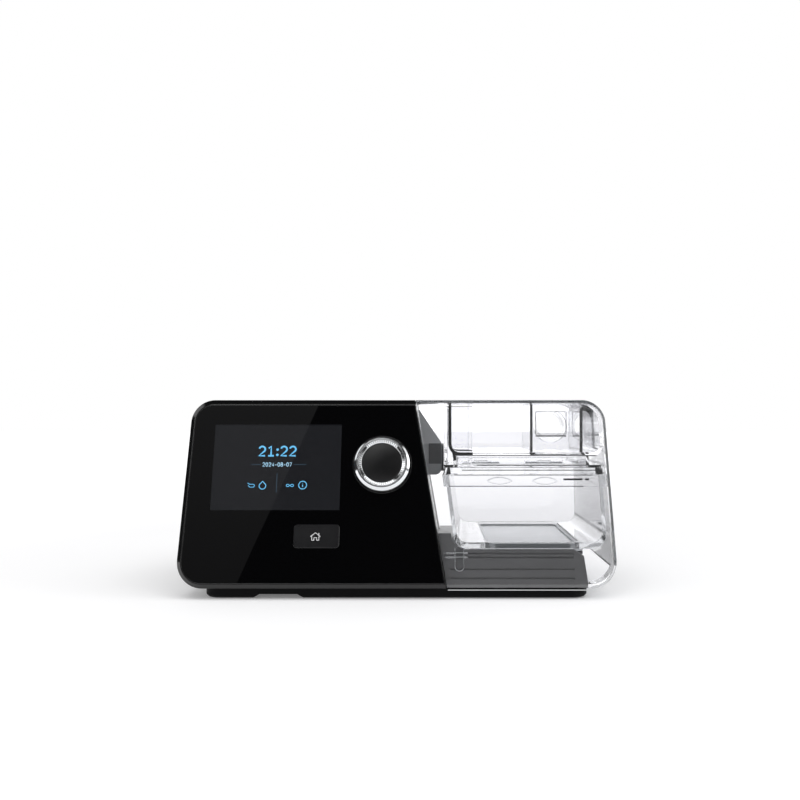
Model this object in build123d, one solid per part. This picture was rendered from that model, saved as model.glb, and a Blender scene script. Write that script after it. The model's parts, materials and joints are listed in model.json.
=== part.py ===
from build123d import *
import os
from math import cos, radians, sin, tan

# Bedside CPAP machine: a black console with display, dial and home button on the left, and a clear
# humidifier tank that docks from the right onto a heated base.
# Millimetres. +X to the right, +Y to the back, +Z up. The origin lies on the table, under the
# middle of the machine.

# ---------------------------------------------------------------- driving dimensions
width = 261.0
depth = 145.0
height = 118.0
foot_lift = 0.6             # plinth underside above the table
body_floor = 6.5            # underside of the rounded body
side_taper = 1.6            # degrees, each side wall leans inwards
face_lean = 16.0            # degrees, the front face leans back
bottom_radius = 16.0
top_radius = 14.0
rear_radius = 3.0
split_foot_x = 29.7         # where console and tank meet, at the body's underside
split_slant = 9.74          # degrees, the split leans to the left going up
split_gap = 0.25            # each side of the split plane

seat_gap = 0.3              # parts that seat on each other
slip_gap = 0.2              # parts that slide in each other
running_gap = 0.05          # shafts in their bores

half_width = width / 2
half_depth = depth / 2
lean = radians(face_lean)
face_length = (height - body_floor) / cos(lean)

# casing and bezel
case_wall = 2.5
boss_radius = 4.2
boss_height = 14.5
post_radius = 2.6
bezel_depth = 10.0
bezel_web = 3.2             # rim wall beside the glass
split_land = 0.8            # bezel left standing along the split
rim_width = 3.5             # frame left round the face glass
rim_bevel = 2.8             # chamfer along the frame
rim_round = 0.45            # its edges
glass_thickness = 2.0
glass_gap = 0.15
plate_thickness = 1.6       # bezel web behind the glass

# display, home button and dial, as x and distance up the front face
window_centre = (56.9 - half_width, face_length - 42.5)
window_size = (78.0, 53.5)
display_border = 2.6
display_flange = (2.5, 3.5) # flange beyond the window opening
display_depth = 3.2
chassis_wall = 1.5
button_centre = (window_centre[0] + 25.8, window_centre[1] - 42.2)
button_size = (27.2, 14.0)
button_radius = 2.2
button_proud = 0.35
button_travel = 0.5
button_collar = 2.0
button_guide = 2.0          # collar below the bezel web
button_stem_radius = 2.0
switch_size = 6.0
switch_height = 3.4
switch_key_height = 1.2
dial_centre = (split_foot_x - 39.0, window_centre[1] + 1.4)
dial_radius = 16.7
dial_cap_radius = 12.3
dial_cap_drop = 1.6         # cap below the ring's crown
dial_cap_skin = 1.6
dial_crown = (14.3, 14.9)   # flat top of the ring, inner and outer radius
dial_groove = (0.3, 0.4)    # beside the crown, width and depth
dial_skirt_bottom = 2.0
dial_height = 7.4
dial_base_radius = 17.9
dial_base_height = 0.8
dial_travel = 0.8
encoder_size = 13.0
encoder_neck_low = -6.0     # neck's foot, under the face
encoder_neck_wall = 1.0
encoder_floor = 1.0
encoder_shaft_radius = 3.0
encoder_sleeve_wall = 0.9
board_thickness = 1.6
board_margin = (11.0, 10.0, 7.0)                 # control board to left edge, foot and top of the face
board_right = split_foot_x - 21.7

# plinth
plinth_left = 15.9 - half_width
plinth_right = half_width - 16.7
plinth_setback = 5.5
plinth_radius = 10.0
plinth_bevel = 1.2
notch_centre_x = plinth_left + 44.6
notch_length = 26.0
notch_height = 2.2
notch_depth = 16.0
notch_slope = 1.75
foot_radius = 4.0
foot_inset = 17.0
foot_recess = 1.6
pocket_pitch = 36.0         # ribs under the plinth
pocket_rib = 3.0
pocket_depth = 3.0
screw_radius = 1.5
screw_head_radius = 2.8
screw_head_height = 1.6
screw_head_sink = 0.4
screw_length = 14.0
screw_boss_radius = 5.0
screw_inset = 26.5          # screws to the front and the back of the machine
casing_screw_x = (plinth_left + 10.6, split_foot_x - 13.7)
base_screw_x = (split_foot_x + 18.3, plinth_right - 9.8)

# clear tank
clear_wall = 2.2
tub_wall = 2.0
tub_floor = 3.2
tub_lift = 0.3              # tub above the heater plate
tub_rim_top = height - 46.0
tub_rim_height = 7.0
tub_rim_proud = 1.7
tub_front_gap = 0.8         # rim to cover
tub_left_low = split_foot_x + 4.3                 # outer left wall at the tub's underside, at the front
tub_left_slant = 8.0        # degrees
tub_back_shift = 5.0        # the left wall moves right by this at the back
tub_back = half_depth - 18.6
tub_corner = 9.0
tub_plate_size = (53.0, depth - 45.0)
tub_plate_thickness = 1.0
tub_plate_corner = 4.0
tub_seal_width = 2.0
tub_seal_height = 2.0
lug_centres = (tub_left_low + 27.9, half_width - 41.1)
lug_size = (15.5, 4.6)      # lens-shaped marks on the rim's front
lug_proud = 0.5

# humidifier base under the tank
base_top = 28.0
base_shoulder_top = 37.5
base_shoulder_reach = 24.0
base_shoulder_depth = 27.5  # from the face back
base_front_gap = 3.0
base_back = half_depth - 12.5
base_right_low = plinth_right - 0.2
base_chamfer = (8.1, 6.0, 3.6)                   # whole run, run of its upper part and that part's drop
groove_heights = (25.4, 23.2, 16.5, 11.4)
groove_size = 0.8
heater_margin = (2.5, 0.5)  # heater plate beyond the tub's floor opening
heater_plate_thickness = 1.8
heater_film_thickness = 0.6
heater_pad_thickness = 1.6
heater_film_inset = 2.0
heater_corner = 5.0
heater_plate_proud = 0.3
heater_centre = ((tub_left_low + half_width) / 2 - 0.75, -3.0)

# lid
lid_back = half_depth - 15.5
lid_swing_gap = 0.6         # rear wall clear of the console when the lid is up
lid_swing_top = height - 18.0
lid_wall_foot = 18.0        # underside of the right wall, behind the wrapped corner
lid_wrap_back = 15.0 - half_depth                # the wrapped corner ends here
wrap_gap = 1.2              # wrapped corner to plinth
peg_x = split_foot_x + 7.5  # guide peg on the cover's inner face
peg_width = 5.2
peg_low = 17.0
peg_top = 30.0
rib_heights = (23.6, 26.0)
rib_right = split_foot_x + 12.5
rib_depth = 1.8
rib_thickness = 0.8
tray_gap = 0.4
tray_wall = 1.8
tray_left = split_foot_x + 1.3
tray_floor_low = height - 34.5
tray_corner = 7.0
seal_height = 3.9
seal_proud = 0.6            # seal beyond the tub's wall
seal_width = 4.0
deck_thickness = 1.8
deck_width = 8.0
skirt_inset = 6.0
skirt_reach = 3.0           # skirt past the tray's underside, where its edge curves up
inlet_right = tray_left + 15.5
inlet_drop = 1.2            # chimney's top below the tray's
chimney_edge = 1.2
outlet_left = half_width - 44.5
outlet_right = half_width - 9.5
outlet_front = lid_back - 55.0
hinge_gap = 0.4             # eyes to the lid's rear wall
hinge_pin_radius = 1.5
knuckle_radius = 3.2
knuckle_length = 9.0
knuckle_gap = 0.4
knuckle_web = 8.0
hinge_centres = (tub_left_low + 22.0, half_width - 28.5)
spigot_x = half_width - 24.5
spigot_drop = 15.0          # spigot's axis below the tray's top
spigot_radius = 11.0
spigot_root = 11.6          # thicker root, on which the hose's cuff stops
spigot_root_end = 1.5       # root beyond the lid
spigot_bore = 9.2
spigot_flange = (26.0, 23.6)
spigot_flange_thickness = 1.6
spigot_flange_corner = 1.5
spigot_window = (21.0, 15.5)                     # opening in the flange
spigot_window_rise = 2.25   # its centre above the spigot's axis
spigot_frame = (2.1, 0.8)   # raised frame round the opening, width and height

# blower, hung from the casing's ceiling down
motor_headroom = 10.5
motor_radius = 17.0
motor_height = 17.0
motor_flange = (4.0, 2.0)   # beyond the can, and its thickness
motor_shaft_radius = 1.5
motor_end = 3.0             # can above the shaft
motor_gap = 1.0             # motor to impeller
impeller_radius = 26.5
impeller_blades = 11
impeller_blade_thickness = 1.2
impeller_plate = 1.5
impeller_eye = 9.0
impeller_hub = 4.5
impeller_clearance = (2.0, 3.0)                  # below and above, inside the scroll
blower_depth = 24.0
blower_wall = 2.0
tongue_angle = 270          # degrees, where the scroll's wall starts
scroll_radius = 30.0        # scroll wall at its tongue
scroll_growth = 3.2         # added by each quarter turn
inlet_radius = 13.0
gasket_wall = 3.0
blower_centre = (split_foot_x - 73.7, half_depth - 44.1)
outlet_end = blower_centre[0] + 32.0             # the scroll's outlet flange
outlet_spigot_length = 10.0
mount_height = 5.6
mount_radius = 4.0
mount_angles = (20, 140, 235)
ear_thickness = 3.0

# air port between console and tank
port_rise = 1.0             # its axis above the blower's middle
port_width = 32.0
port_drop = 10.5            # its underside below its axis
port_head = 9.5
port_corner = 4.0
port_clearance = 0.4        # its face to the tub's seal
port_cowl_drop = 6.0        # cowl's top below the machine's
port_cowl_lean = 32.0       # degrees, cowl's front and back lean inwards
port_bore_radius = 6.8
port_spigot_radius = 8.2
port_spigot_length = 8.0
port_seal_thickness = 1.5
port_seal_radius = 9.0
duct_wall = 1.6
duct_rib_height = 2.4
duct_left = outlet_end + 3.0
duct_port_gap = 4.9         # sleeve's end to the console's wall
duct_ribs = 5

# rear and side of the console
main_board_left = 9.5 - half_width
main_board_width = 25.0
main_board_front = 42.5 - half_depth
main_board_back = half_depth - 6.5
main_board_z = 28.0
post_inset = (4.5, 4.0)
card_size = (32.0, 24.0, 2.1)
card_left = 0.7 - half_width
card_y = 16.0
card_rise = 0.95            # card above the board
socket_wall = 2.0
socket_inset = 0.4
jack_x = 22.0 - half_width
jack_rise = 7.4             # its axis above the board
jack_size = (10.0, 17.7, 12.4)
jack_nose_radius = 5.0
jack_nose_sink = 0.5
jack_bore = 3.2
jack_bore_depth = 11.0
jack_pin_radius = 1.05
jack_pin_sink = 1.5

# silencer and filter
silencer_left = main_board_left + main_board_width + 4.0
silencer_right = split_foot_x - 23.7
silencer_front = -18.0
silencer_back = half_depth - 12.5
silencer_floor = body_floor + case_wall
silencer_wall = 2.0
silencer_corner = 5.0
silencer_lid_thickness = 2.4
floor_margin = 2.0          # casing floor open beyond the silencer
filter_size = (50.0, 32.0)
filter_left = 3.0           # filter's edge to the silencer's
filter_corner = 3.0
filter_land = 4.0           # foam channel inside the filter's edge
filter_pad_thickness = 7.6
filter_cover_thickness = 3.4
filter_cover_sink = 0.4
filter_slots = 8
filter_slot_margin = (10.0, 6.0)
filter_grip_radius = 3.5
filter_grip_depth = 1.6

# levels and places that follow from the sizes above
window_opening = (window_size[0] + 2 * display_border, window_size[1] + 2 * display_border)
flange_size = (window_opening[0] + 2 * display_flange[0], window_opening[1] + 2 * display_flange[1])
display_top = -glass_thickness - seat_gap
flange_top = -glass_thickness - plate_thickness - seat_gap
flange_low = flange_top - display_depth
board_top = -bezel_depth
switch_top = board_top + switch_height + switch_key_height
encoder_bore = encoder_shaft_radius + encoder_sleeve_wall + 2 * running_gap
encoder_neck_radius = encoder_bore + encoder_neck_wall
plunger_low = board_top + encoder_floor + dial_travel + 2 * running_gap
screw_seat = foot_lift + screw_head_height + screw_head_sink
screw_y = (screw_inset - half_depth, half_depth - screw_inset)
casing_screws = [(x, y) for x in casing_screw_x for y in screw_y]
base_screws_at = [(x, y) for x in base_screw_x for y in screw_y]
tub_opening = (tub_plate_size[0] + 2 * tub_seal_width, tub_plate_size[1] + 2 * tub_seal_width)
heater_plate_size = (tub_opening[0] + 2 * heater_margin[0], tub_opening[1] + 2 * heater_margin[1])
heater_pocket = heater_pad_thickness + heater_film_thickness + heater_plate_thickness - heater_plate_proud
heater_low = base_top - heater_pocket
tub_bottom = base_top + heater_plate_proud + tub_lift
wrap_left = plinth_right + wrap_gap
tray_top = height - clear_wall - seat_gap
tray_back = lid_back - clear_wall - seat_gap
tray_skirt_low = tub_rim_top + seat_gap + seal_height
deck_top = tray_skirt_low + deck_thickness
hinge_y = lid_back + knuckle_radius + hinge_gap
hinge_z = tub_rim_top + 1.0
spigot_centre = (spigot_x, tray_top - spigot_drop)
motor_top = height - case_wall - motor_headroom
motor_low = motor_top - motor_height
shaft_top = motor_top - motor_end
impeller_top = motor_low - motor_gap
blower_high = impeller_top + impeller_clearance[1] + blower_wall
blower_low = blower_high - blower_depth
blower_split = (blower_low + blower_high) / 2
impeller_low = blower_low + blower_wall + impeller_clearance[0]
outlet_height = 4 * scroll_growth
silencer_top = blower_low - mount_height - silencer_lid_thickness
floor_opening = (silencer_left - floor_margin, 22.5 - half_depth, silencer_right + floor_margin,
                 silencer_back + floor_margin)
filter_centre = (silencer_left + filter_left + filter_size[0] / 2, (silencer_floor + silencer_top) / 2)
port_y = blower_centre[1] - scroll_radius - outlet_height / 2
port_z = blower_split + port_rise
port_bottom = port_z - port_drop
port_top = port_z + port_head
port_cowl_top = height - port_cowl_drop
port_end = tub_left_low - (tray_skirt_low - tub_bottom) * tan(radians(tub_left_slant)) - port_clearance
duct_right = split_foot_x - (port_z - body_floor) * tan(radians(split_slant)) - duct_port_gap
inlet_left = port_end + port_seal_thickness + seat_gap
inlet_top = tray_top - inlet_drop
main_board_right = main_board_left + main_board_width
main_board_top = main_board_z + board_thickness
board_posts = [(x, y) for x in (main_board_left + post_inset[0], main_board_right - post_inset[0])
               for y in (main_board_front + post_inset[1], main_board_back - post_inset[1])]
card_z = main_board_top + card_rise + card_size[2] / 2
jack_centre = (jack_x, main_board_top + jack_rise)

# ---------------------------------------------------------------- frames and outlines
face_plane = Plane(origin=(0, -half_depth, body_floor), x_dir=(1, 0, 0), z_dir=(0, -cos(lean), sin(lean)))
slant = radians(split_slant)
split_plane = Plane(
    origin=(split_foot_x, 0, body_floor),
    x_dir=(0, 1, 0),
    z_dir=(cos(slant), 0, sin(slant)),
)


def split_x(z):
    return split_foot_x - (z - body_floor) * tan(slant)


def face_y(z, inset=0.0):
    return -half_depth + (z - body_floor) * tan(lean) + inset / cos(lean)


def side_x(z, inset=0.0):
    taper = radians(side_taper)
    foot = width / 2 + bottom_radius * (tan(taper) + 1 / cos(taper) - 1)
    return foot - (z - body_floor) * tan(taper) - inset / cos(taper)


def on_face(spot, level=0.0):
    return face_plane * Pos(spot[0], spot[1], level)


def block(x0, y0, z0, x1, y1, z1):
    return Pos((x0 + x1) / 2, (y0 + y1) / 2, (z0 + z1) / 2) * Box(x1 - x0, y1 - y0, z1 - z0)


def along_y(sketch, y_front, y_back):
    return extrude(Plane.XZ.offset(-y_back) * sketch, amount=y_back - y_front)


def rounded_bar(size, radius, bottom, top):
    return Pos(0, 0, bottom) * extrude(RectangleRounded(size[0], size[1], radius), amount=top - bottom)


def tube(outer, inner, length):
    ring = Circle(outer) - Circle(inner)
    return extrude(ring, amount=length)


def body_outline(inset=0.0):
    low = body_floor + inset
    high = height - inset
    corners = [(-side_x(low, inset), low), (side_x(low, inset), low),
               (side_x(high, inset), high), (-side_x(high, inset), high)]
    outline = Polygon(*corners, align=None)
    outline = fillet(outline.vertices().sort_by(Axis.Y)[:2], bottom_radius - inset)
    return fillet(outline.vertices().sort_by(Axis.Y)[-2:], top_radius - inset)


def body_form():
    form = along_y(body_outline(), -half_depth, half_depth)
    form = fillet(form.faces().sort_by(Axis.Y)[-1].edges(), rear_radius)
    form = split(form, bisect_by=face_plane, keep=Keep.BOTTOM)
    outward = Axis(face_plane.origin, face_plane.z_dir)
    form = chamfer(form.faces().sort_by(outward)[-1].edges(), rim_bevel)
    form = fillet(form.faces().sort_by(outward)[-1].edges(), rim_round)
    back_edge = [edge for edge in form.edges()
                 if rim_bevel * 0.9 < -face_plane.to_local_coords(edge.center()).Z < rim_bevel * 1.1]
    return fillet(back_edge, rim_round)


def body_core(inset, y_front, y_back):
    return along_y(body_outline(inset), y_front, y_back)


def console_side(form, inset=0.0):
    return split(form, bisect_by=split_plane.offset(-split_gap - inset), keep=Keep.BOTTOM)


def tank_side(form, inset=0.0):
    return split(form, bisect_by=split_plane.offset(split_gap + inset), keep=Keep.TOP)


def behind_face(form, inset):
    return split(form, bisect_by=face_plane.offset(-inset), keep=Keep.BOTTOM)


def in_front_of(form, inset):
    return split(form, bisect_by=face_plane.offset(-inset), keep=Keep.TOP)


# ---------------------------------------------------------------- casing, bezel and glass

def screw_hole(radius, z_low, z_high, spot):
    return Pos(spot[0], spot[1], (z_low + z_high) / 2) * Cylinder(radius, z_high - z_low)


def filter_window(grow=0.0, y_front=0.0, y_back=depth):
    x, z = filter_centre
    corner = max(filter_corner + grow, 1.0)
    plan = Pos(x, z) * RectangleRounded(filter_size[0] + 2 * grow, filter_size[1] + 2 * grow, corner)
    return along_y(plan, y_front, y_back)


def card_body(grow=0.0, reach=0.0):
    aside = card_size[1] / 2 + grow
    rise = card_size[2] / 2 + grow
    return block(card_left - reach, card_y - aside, card_z - rise,
                 card_left + card_size[0] + grow, card_y + aside, card_z + rise)


def port_bore(radius, x0, x1):
    turn = Plane(origin=(x0, port_y, port_z), x_dir=(0, 1, 0), z_dir=(1, 0, 0))
    return extrude(turn * Circle(radius), amount=x1 - x0)


def main_casing():
    shell = console_side(behind_face(body_form(), bezel_depth))
    core = body_core(case_wall, -half_depth, half_depth - case_wall)
    shell -= console_side(core, case_wall)
    x0, y0, x1, y1 = floor_opening
    shell -= block(x0, y0, 0, x1, y1, body_floor + 2 * case_wall)
    for spot in casing_screws:
        shell += screw_hole(boss_radius, body_floor + case_wall / 2, body_floor + boss_height, spot)
        shell -= screw_hole(screw_radius + running_gap, 0, screw_seat + screw_length, spot)
    for spot in board_posts:
        shell += screw_hole(post_radius, body_floor + case_wall / 2, main_board_z, spot)
    shell -= filter_window(seat_gap)
    shell -= card_body(seat_gap, case_wall)
    nose = Pos(*jack_centre) * Circle(jack_nose_radius + slip_gap)
    shell -= along_y(nose, half_depth - 2 * case_wall, half_depth + 1)
    return shell - port_bore(port_spigot_radius + slip_gap, split_x(port_z) - 4 * case_wall, port_end)


def glass_form(inset, split_inset):
    """The console's face as a prism, moved in from the body's edge and from the split."""
    return console_side(body_core(inset, -half_depth - 10, half_depth), split_inset)


def front_bezel():
    rim = console_side(in_front_of(body_form(), bezel_depth))
    rim -= in_front_of(glass_form(rim_width, split_land), glass_thickness)
    inner = glass_form(rim_width + bezel_web, split_land + bezel_web)
    rim -= behind_face(inner, glass_thickness + plate_thickness)
    rim -= on_face(window_centre, -bezel_depth) * rounded_bar(window_opening, 1.5, 0, bezel_depth)
    hole = (button_size[0] + 2 * seat_gap, button_size[1] + 2 * seat_gap)
    collar = (hole[0] + 2 * button_collar, hole[1] + 2 * button_collar)
    guide_low = -glass_thickness - plate_thickness - button_guide
    corner = button_radius + button_collar
    rim += on_face(button_centre) * rounded_bar(collar, corner, guide_low, -glass_thickness)
    rim -= on_face(button_centre) * rounded_bar(hole, button_radius, guide_low - 1, 0)
    return rim - on_face(dial_centre) * Cylinder(encoder_neck_radius + seat_gap, 2 * bezel_depth)


def front_glass():
    glass = glass_form(rim_width + glass_gap, split_land + glass_gap)
    glass = in_front_of(behind_face(glass, 0), glass_thickness)
    hole = (button_size[0] + 2 * slip_gap, button_size[1] + 2 * slip_gap)
    glass -= on_face(button_centre) * rounded_bar(hole, button_radius + slip_gap, -glass_thickness - 1, 1)
    return glass - on_face(dial_centre) * Cylinder(encoder_bore + seat_gap, 4 * glass_thickness)


# ---------------------------------------------------------------- display, boards and controls
def display_module():
    step = (window_opening[0] - 2 * seat_gap, window_opening[1] - 2 * seat_gap)
    module = rounded_bar(step, 1.2, flange_low, display_top)
    module += rounded_bar(flange_size, 1.2, flange_low, flange_top)
    return on_face(window_centre) * module


def display_chassis():
    """Sheet tray that carries the display on the control board."""
    inner = (flange_size[0] - 2 * chassis_wall, flange_size[1] - 2 * chassis_wall)
    tray = rounded_bar(flange_size, 1.2, board_top, flange_low)
    tray -= rounded_bar(inner, 1.0, board_top, flange_low - chassis_wall)
    return on_face(window_centre) * tray


def control_board():
    left = board_margin[0] - half_width
    low = board_margin[1]
    high = face_length - board_margin[2]
    centre = ((left + board_right) / 2, (low + high) / 2)
    size = (board_right - left, high - low)
    board = on_face(centre) * rounded_bar(size, 2.0, board_top - board_thickness, board_top)
    core = body_core(case_wall + seat_gap, -half_depth, half_depth)
    return board & core


def encoder_body():
    case = rounded_bar((encoder_size, encoder_size), 1.0, board_top, encoder_neck_low)
    neck = extrude(Circle(encoder_neck_radius), amount=-glass_thickness - encoder_neck_low)
    case += Pos(0, 0, encoder_neck_low) * neck
    case -= Pos(0, 0, board_top + encoder_floor) * extrude(Circle(encoder_bore), amount=bezel_depth)
    return on_face(dial_centre) * case


def encoder_sleeve():
    """Bushing that slides in with the dial but doesn't turn."""
    inner = encoder_shaft_radius + running_gap
    sleeve = tube(inner + encoder_sleeve_wall, inner, dial_base_height - plunger_low)
    return on_face(dial_centre, plunger_low) * sleeve


def dial_shaft():
    length = dial_height - dial_cap_drop - dial_cap_skin - plunger_low
    return on_face(dial_centre, plunger_low) * extrude(Circle(encoder_shaft_radius), amount=length)


def dial_surround():
    disc = tube(dial_base_radius, encoder_bore + seat_gap, dial_base_height)
    return on_face(dial_centre) * chamfer(disc.edges().filter_by(GeomType.CIRCLE).sort_by(Axis.Z)[-1], 0.3)


def dial_ring():
    """Chrome ring: polished outer bevel, flat crown, a groove and an inner bevel down to the cap."""
    low = dial_skirt_bottom
    crown_in, crown_out = dial_crown
    groove_width, groove_depth = dial_groove
    groove_floor = dial_height - groove_depth
    profile = Polyline(
        (dial_cap_radius, low), (dial_radius - 0.5, low), (dial_radius, low + 0.6),
        (dial_radius, low + 1.8), (crown_out + 0.3, dial_height - 0.3), (crown_out, dial_height),
        (crown_in, dial_height), (crown_in, groove_floor), (crown_in - groove_width, groove_floor),
        (dial_cap_radius, dial_height - dial_cap_drop), close=True,
    )
    ring = revolve(Plane.XZ * make_face(profile), Axis.Z)
    return on_face(dial_centre) * ring


def dial_cap():
    low = dial_skirt_bottom
    thickness = dial_height - dial_cap_drop - low
    cap = Pos(0, 0, low) * extrude(Circle(dial_cap_radius - running_gap), amount=thickness)
    cap = fillet(cap.edges().filter_by(GeomType.CIRCLE).sort_by(Axis.Z)[-1], 0.8)
    socket = Pos(0, 0, low) * extrude(Circle(encoder_shaft_radius), amount=thickness - dial_cap_skin)
    return on_face(dial_centre) * (cap - socket)


def home_button():
    cap = rounded_bar(button_size, button_radius, -glass_thickness - plate_thickness, button_proud)
    cap = chamfer(cap.edges().group_by(Axis.Z)[-1], 0.25)
    stem_low = switch_top + button_travel + seat_gap
    cap += Pos(0, 0, stem_low) * extrude(Circle(button_stem_radius), amount=-stem_low - glass_thickness)
    return on_face(button_centre) * cap


def home_switch():
    switch = rounded_bar((switch_size, switch_size), 0.4, board_top, board_top + switch_height)
    switch += Pos(0, 0, board_top + switch_height) * extrude(Circle(1.7), amount=switch_key_height)
    return on_face(button_centre) * switch


def main_board():
    return block(main_board_left, main_board_front, main_board_z,
                 main_board_right, main_board_back, main_board_top)


def card_socket():
    reach = card_size[1] / 2 + socket_wall
    top = card_z + card_size[2] / 2 + socket_wall / 2
    frame = block(main_board_left, card_y - reach, main_board_top,
                  main_board_right - socket_inset, card_y + reach, top)
    return frame - card_body(slip_gap)


def memory_card():
    card = card_body()
    return fillet(card.edges().filter_by(Axis.Z), 1.0)


def dc_jack():
    x, z = jack_centre
    back = half_depth - case_wall - seat_gap
    body = block(x - jack_size[0] / 2, back - jack_size[1], main_board_top,
                 x + jack_size[0] / 2, back, main_board_top + jack_size[2])
    body += along_y(Pos(x, z) * Circle(jack_nose_radius), back - 1, half_depth - jack_nose_sink)
    body -= along_y(Pos(x, z) * Circle(jack_bore), half_depth - jack_bore_depth, half_depth + 1)
    pin = Pos(x, z) * Circle(jack_pin_radius)
    return body + along_y(pin, half_depth - jack_bore_depth - 1, half_depth - jack_pin_sink)


# ---------------------------------------------------------------- blower and air path
def scroll_outline(grow=0.0):
    """Four quarter arcs, each wider than the last, run into a straight outlet along +X."""
    x, y = blower_centre
    radius = scroll_radius + grow
    centre = Vector(x, y)
    arcs = []
    for quarter in range(4):
        start_angle = tongue_angle + 90 * quarter
        arcs.append(CenterArc(centre, radius, start_angle, 90))
        end_angle = radians(start_angle + 90)
        centre = centre - Vector(cos(end_angle), sin(end_angle)) * scroll_growth
        radius += scroll_growth
    close = Line(arcs[-1] @ 1, arcs[0] @ 0)
    spiral = make_face(arcs + [close])
    low = y - scroll_radius - outlet_height - grow
    high = y - scroll_radius + grow
    outlet = Pos((x + outlet_end) / 2, (low + high) / 2) * Rectangle(outlet_end - x, high - low)
    return spiral + outlet


def scroll_form(grow, z_low, z_high):
    return Pos(0, 0, z_low) * extrude(scroll_outline(grow), amount=z_high - z_low)


def at_blower(z):
    return Pos(blower_centre[0], blower_centre[1], z)


def mount_spots():
    """Centres of the ears, which follow the scroll's growing radius."""
    x, y = blower_centre
    spots = []
    for angle in mount_angles:
        turned = (angle - tongue_angle) % 360
        reach = scroll_radius + scroll_growth * (turned / 90 - 1) + blower_wall + mount_radius - 1.0
        spots.append((x + reach * cos(radians(angle)), y + reach * sin(radians(angle))))
    return spots


def outlet_tube(radius, inward=0.0, outward=0.0):
    return port_bore(radius, outlet_end - blower_wall - inward, outlet_end + outlet_spigot_length + outward)


def scroll_cavity():
    """Air space of the scroll, which stops short of the outlet's end wall."""
    cavity = scroll_form(0.0, blower_low + blower_wall, blower_high - blower_wall)
    return cavity - block(outlet_end - blower_wall, -half_depth, 0, outlet_end, half_depth, height)


def blower_lower():
    housing = scroll_form(blower_wall, blower_low, blower_split)
    for spot in mount_spots():
        housing += screw_hole(mount_radius + 1.0, blower_low, blower_low + ear_thickness, spot)
    housing = (housing + outlet_tube(port_spigot_radius)) - scroll_cavity()
    housing -= at_blower(blower_low) * Cylinder(inlet_radius, 4 * blower_wall)
    return housing - outlet_tube(port_bore_radius, blower_wall, 1)


def blower_upper():
    housing = scroll_form(blower_wall, blower_split, blower_high) - scroll_cavity()
    housing -= at_blower(blower_high) * Cylinder(motor_radius + slip_gap, 4 * blower_wall)
    return housing - outlet_tube(port_spigot_radius + slip_gap, 0, 1)


def impeller():
    """Backward-curved blades under a back plate, open towards the inlet."""
    plate = extrude(Circle(impeller_radius), amount=impeller_plate)
    plate = at_blower(impeller_top - impeller_plate) * plate
    hub = at_blower(impeller_low) * extrude(Circle(impeller_hub), amount=impeller_top - impeller_low)
    blade_curve = impeller_radius * 0.8
    ring = Circle(blade_curve) - Circle(blade_curve - impeller_blade_thickness)
    ring = Pos(blade_curve - impeller_eye, 0) * ring
    window = (Circle(impeller_radius) - Circle(impeller_eye)) & Pos(0, impeller_radius) * Rectangle(
        2 * impeller_radius, 2 * impeller_radius)
    blade = extrude(ring & window, amount=impeller_top - impeller_low)
    wheel = plate + hub
    for spot in PolarLocations(0, impeller_blades):
        wheel += at_blower(impeller_low) * spot * blade
    return wheel - at_blower(blower_split) * Cylinder(motor_shaft_radius, 2 * (blower_high - blower_low))


def motor_shaft():
    return at_blower(impeller_low) * extrude(Circle(motor_shaft_radius), amount=shaft_top - impeller_low)


def blower_motor():
    can = at_blower(motor_low) * extrude(Circle(motor_radius), amount=motor_height)
    can = fillet(can.edges().filter_by(GeomType.CIRCLE).sort_by(Axis.Z)[-1], 2.0)
    can += at_blower(blower_high) * extrude(Circle(motor_radius + motor_flange[0]), amount=motor_flange[1])
    bore = extrude(Circle(motor_shaft_radius + running_gap), amount=shaft_top + seat_gap - motor_low)
    return can - at_blower(motor_low) * bore


def blower_mounts():
    """Soft posts that carry the blower on the silencer's lid."""
    post = extrude(Circle(mount_radius), amount=mount_height)
    return Compound(children=[Pos(x, y, blower_low - mount_height) * post for x, y in mount_spots()])


def silencer_block(inset, low, high):
    return block(silencer_left + inset, silencer_front + inset, low,
                 silencer_right - inset, silencer_back - inset, high)


def silencer_case():
    case = silencer_block(0.0, silencer_floor, silencer_top)
    case = fillet(case.edges().filter_by(Axis.Z), silencer_corner)
    case -= silencer_block(silencer_wall, silencer_floor + silencer_wall, height)
    inside = silencer_back - 2 * silencer_wall
    return case - filter_window(seat_gap - filter_land, inside, silencer_back + 1)


def silencer_lid():
    lid = silencer_block(0.0, silencer_top, silencer_top + silencer_lid_thickness)
    lid = fillet(lid.edges().filter_by(Axis.Z), silencer_corner)
    return lid - at_blower(silencer_top) * Cylinder(inlet_radius, 4 * silencer_lid_thickness)


def silencer_foam():
    """Sound-absorbing block with the air channel from the filter to the blower's eye."""
    gap = silencer_wall + seat_gap
    foam = silencer_block(gap, silencer_floor + gap, silencer_top - seat_gap)
    foam -= filter_window(-filter_land, blower_centre[1], silencer_back)
    return foam - at_blower(silencer_top) * Cylinder(inlet_radius, 2 * (silencer_top - filter_centre[1]))


def inlet_gasket():
    """Bellows collar from the silencer's lid to the blower's eye."""
    collar = tube(inlet_radius + gasket_wall, inlet_radius, mount_height)
    return at_blower(blower_low - mount_height) * collar


def air_filter():
    front = silencer_back + seat_gap
    return filter_window(-1.0, front, front + filter_pad_thickness)


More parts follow.
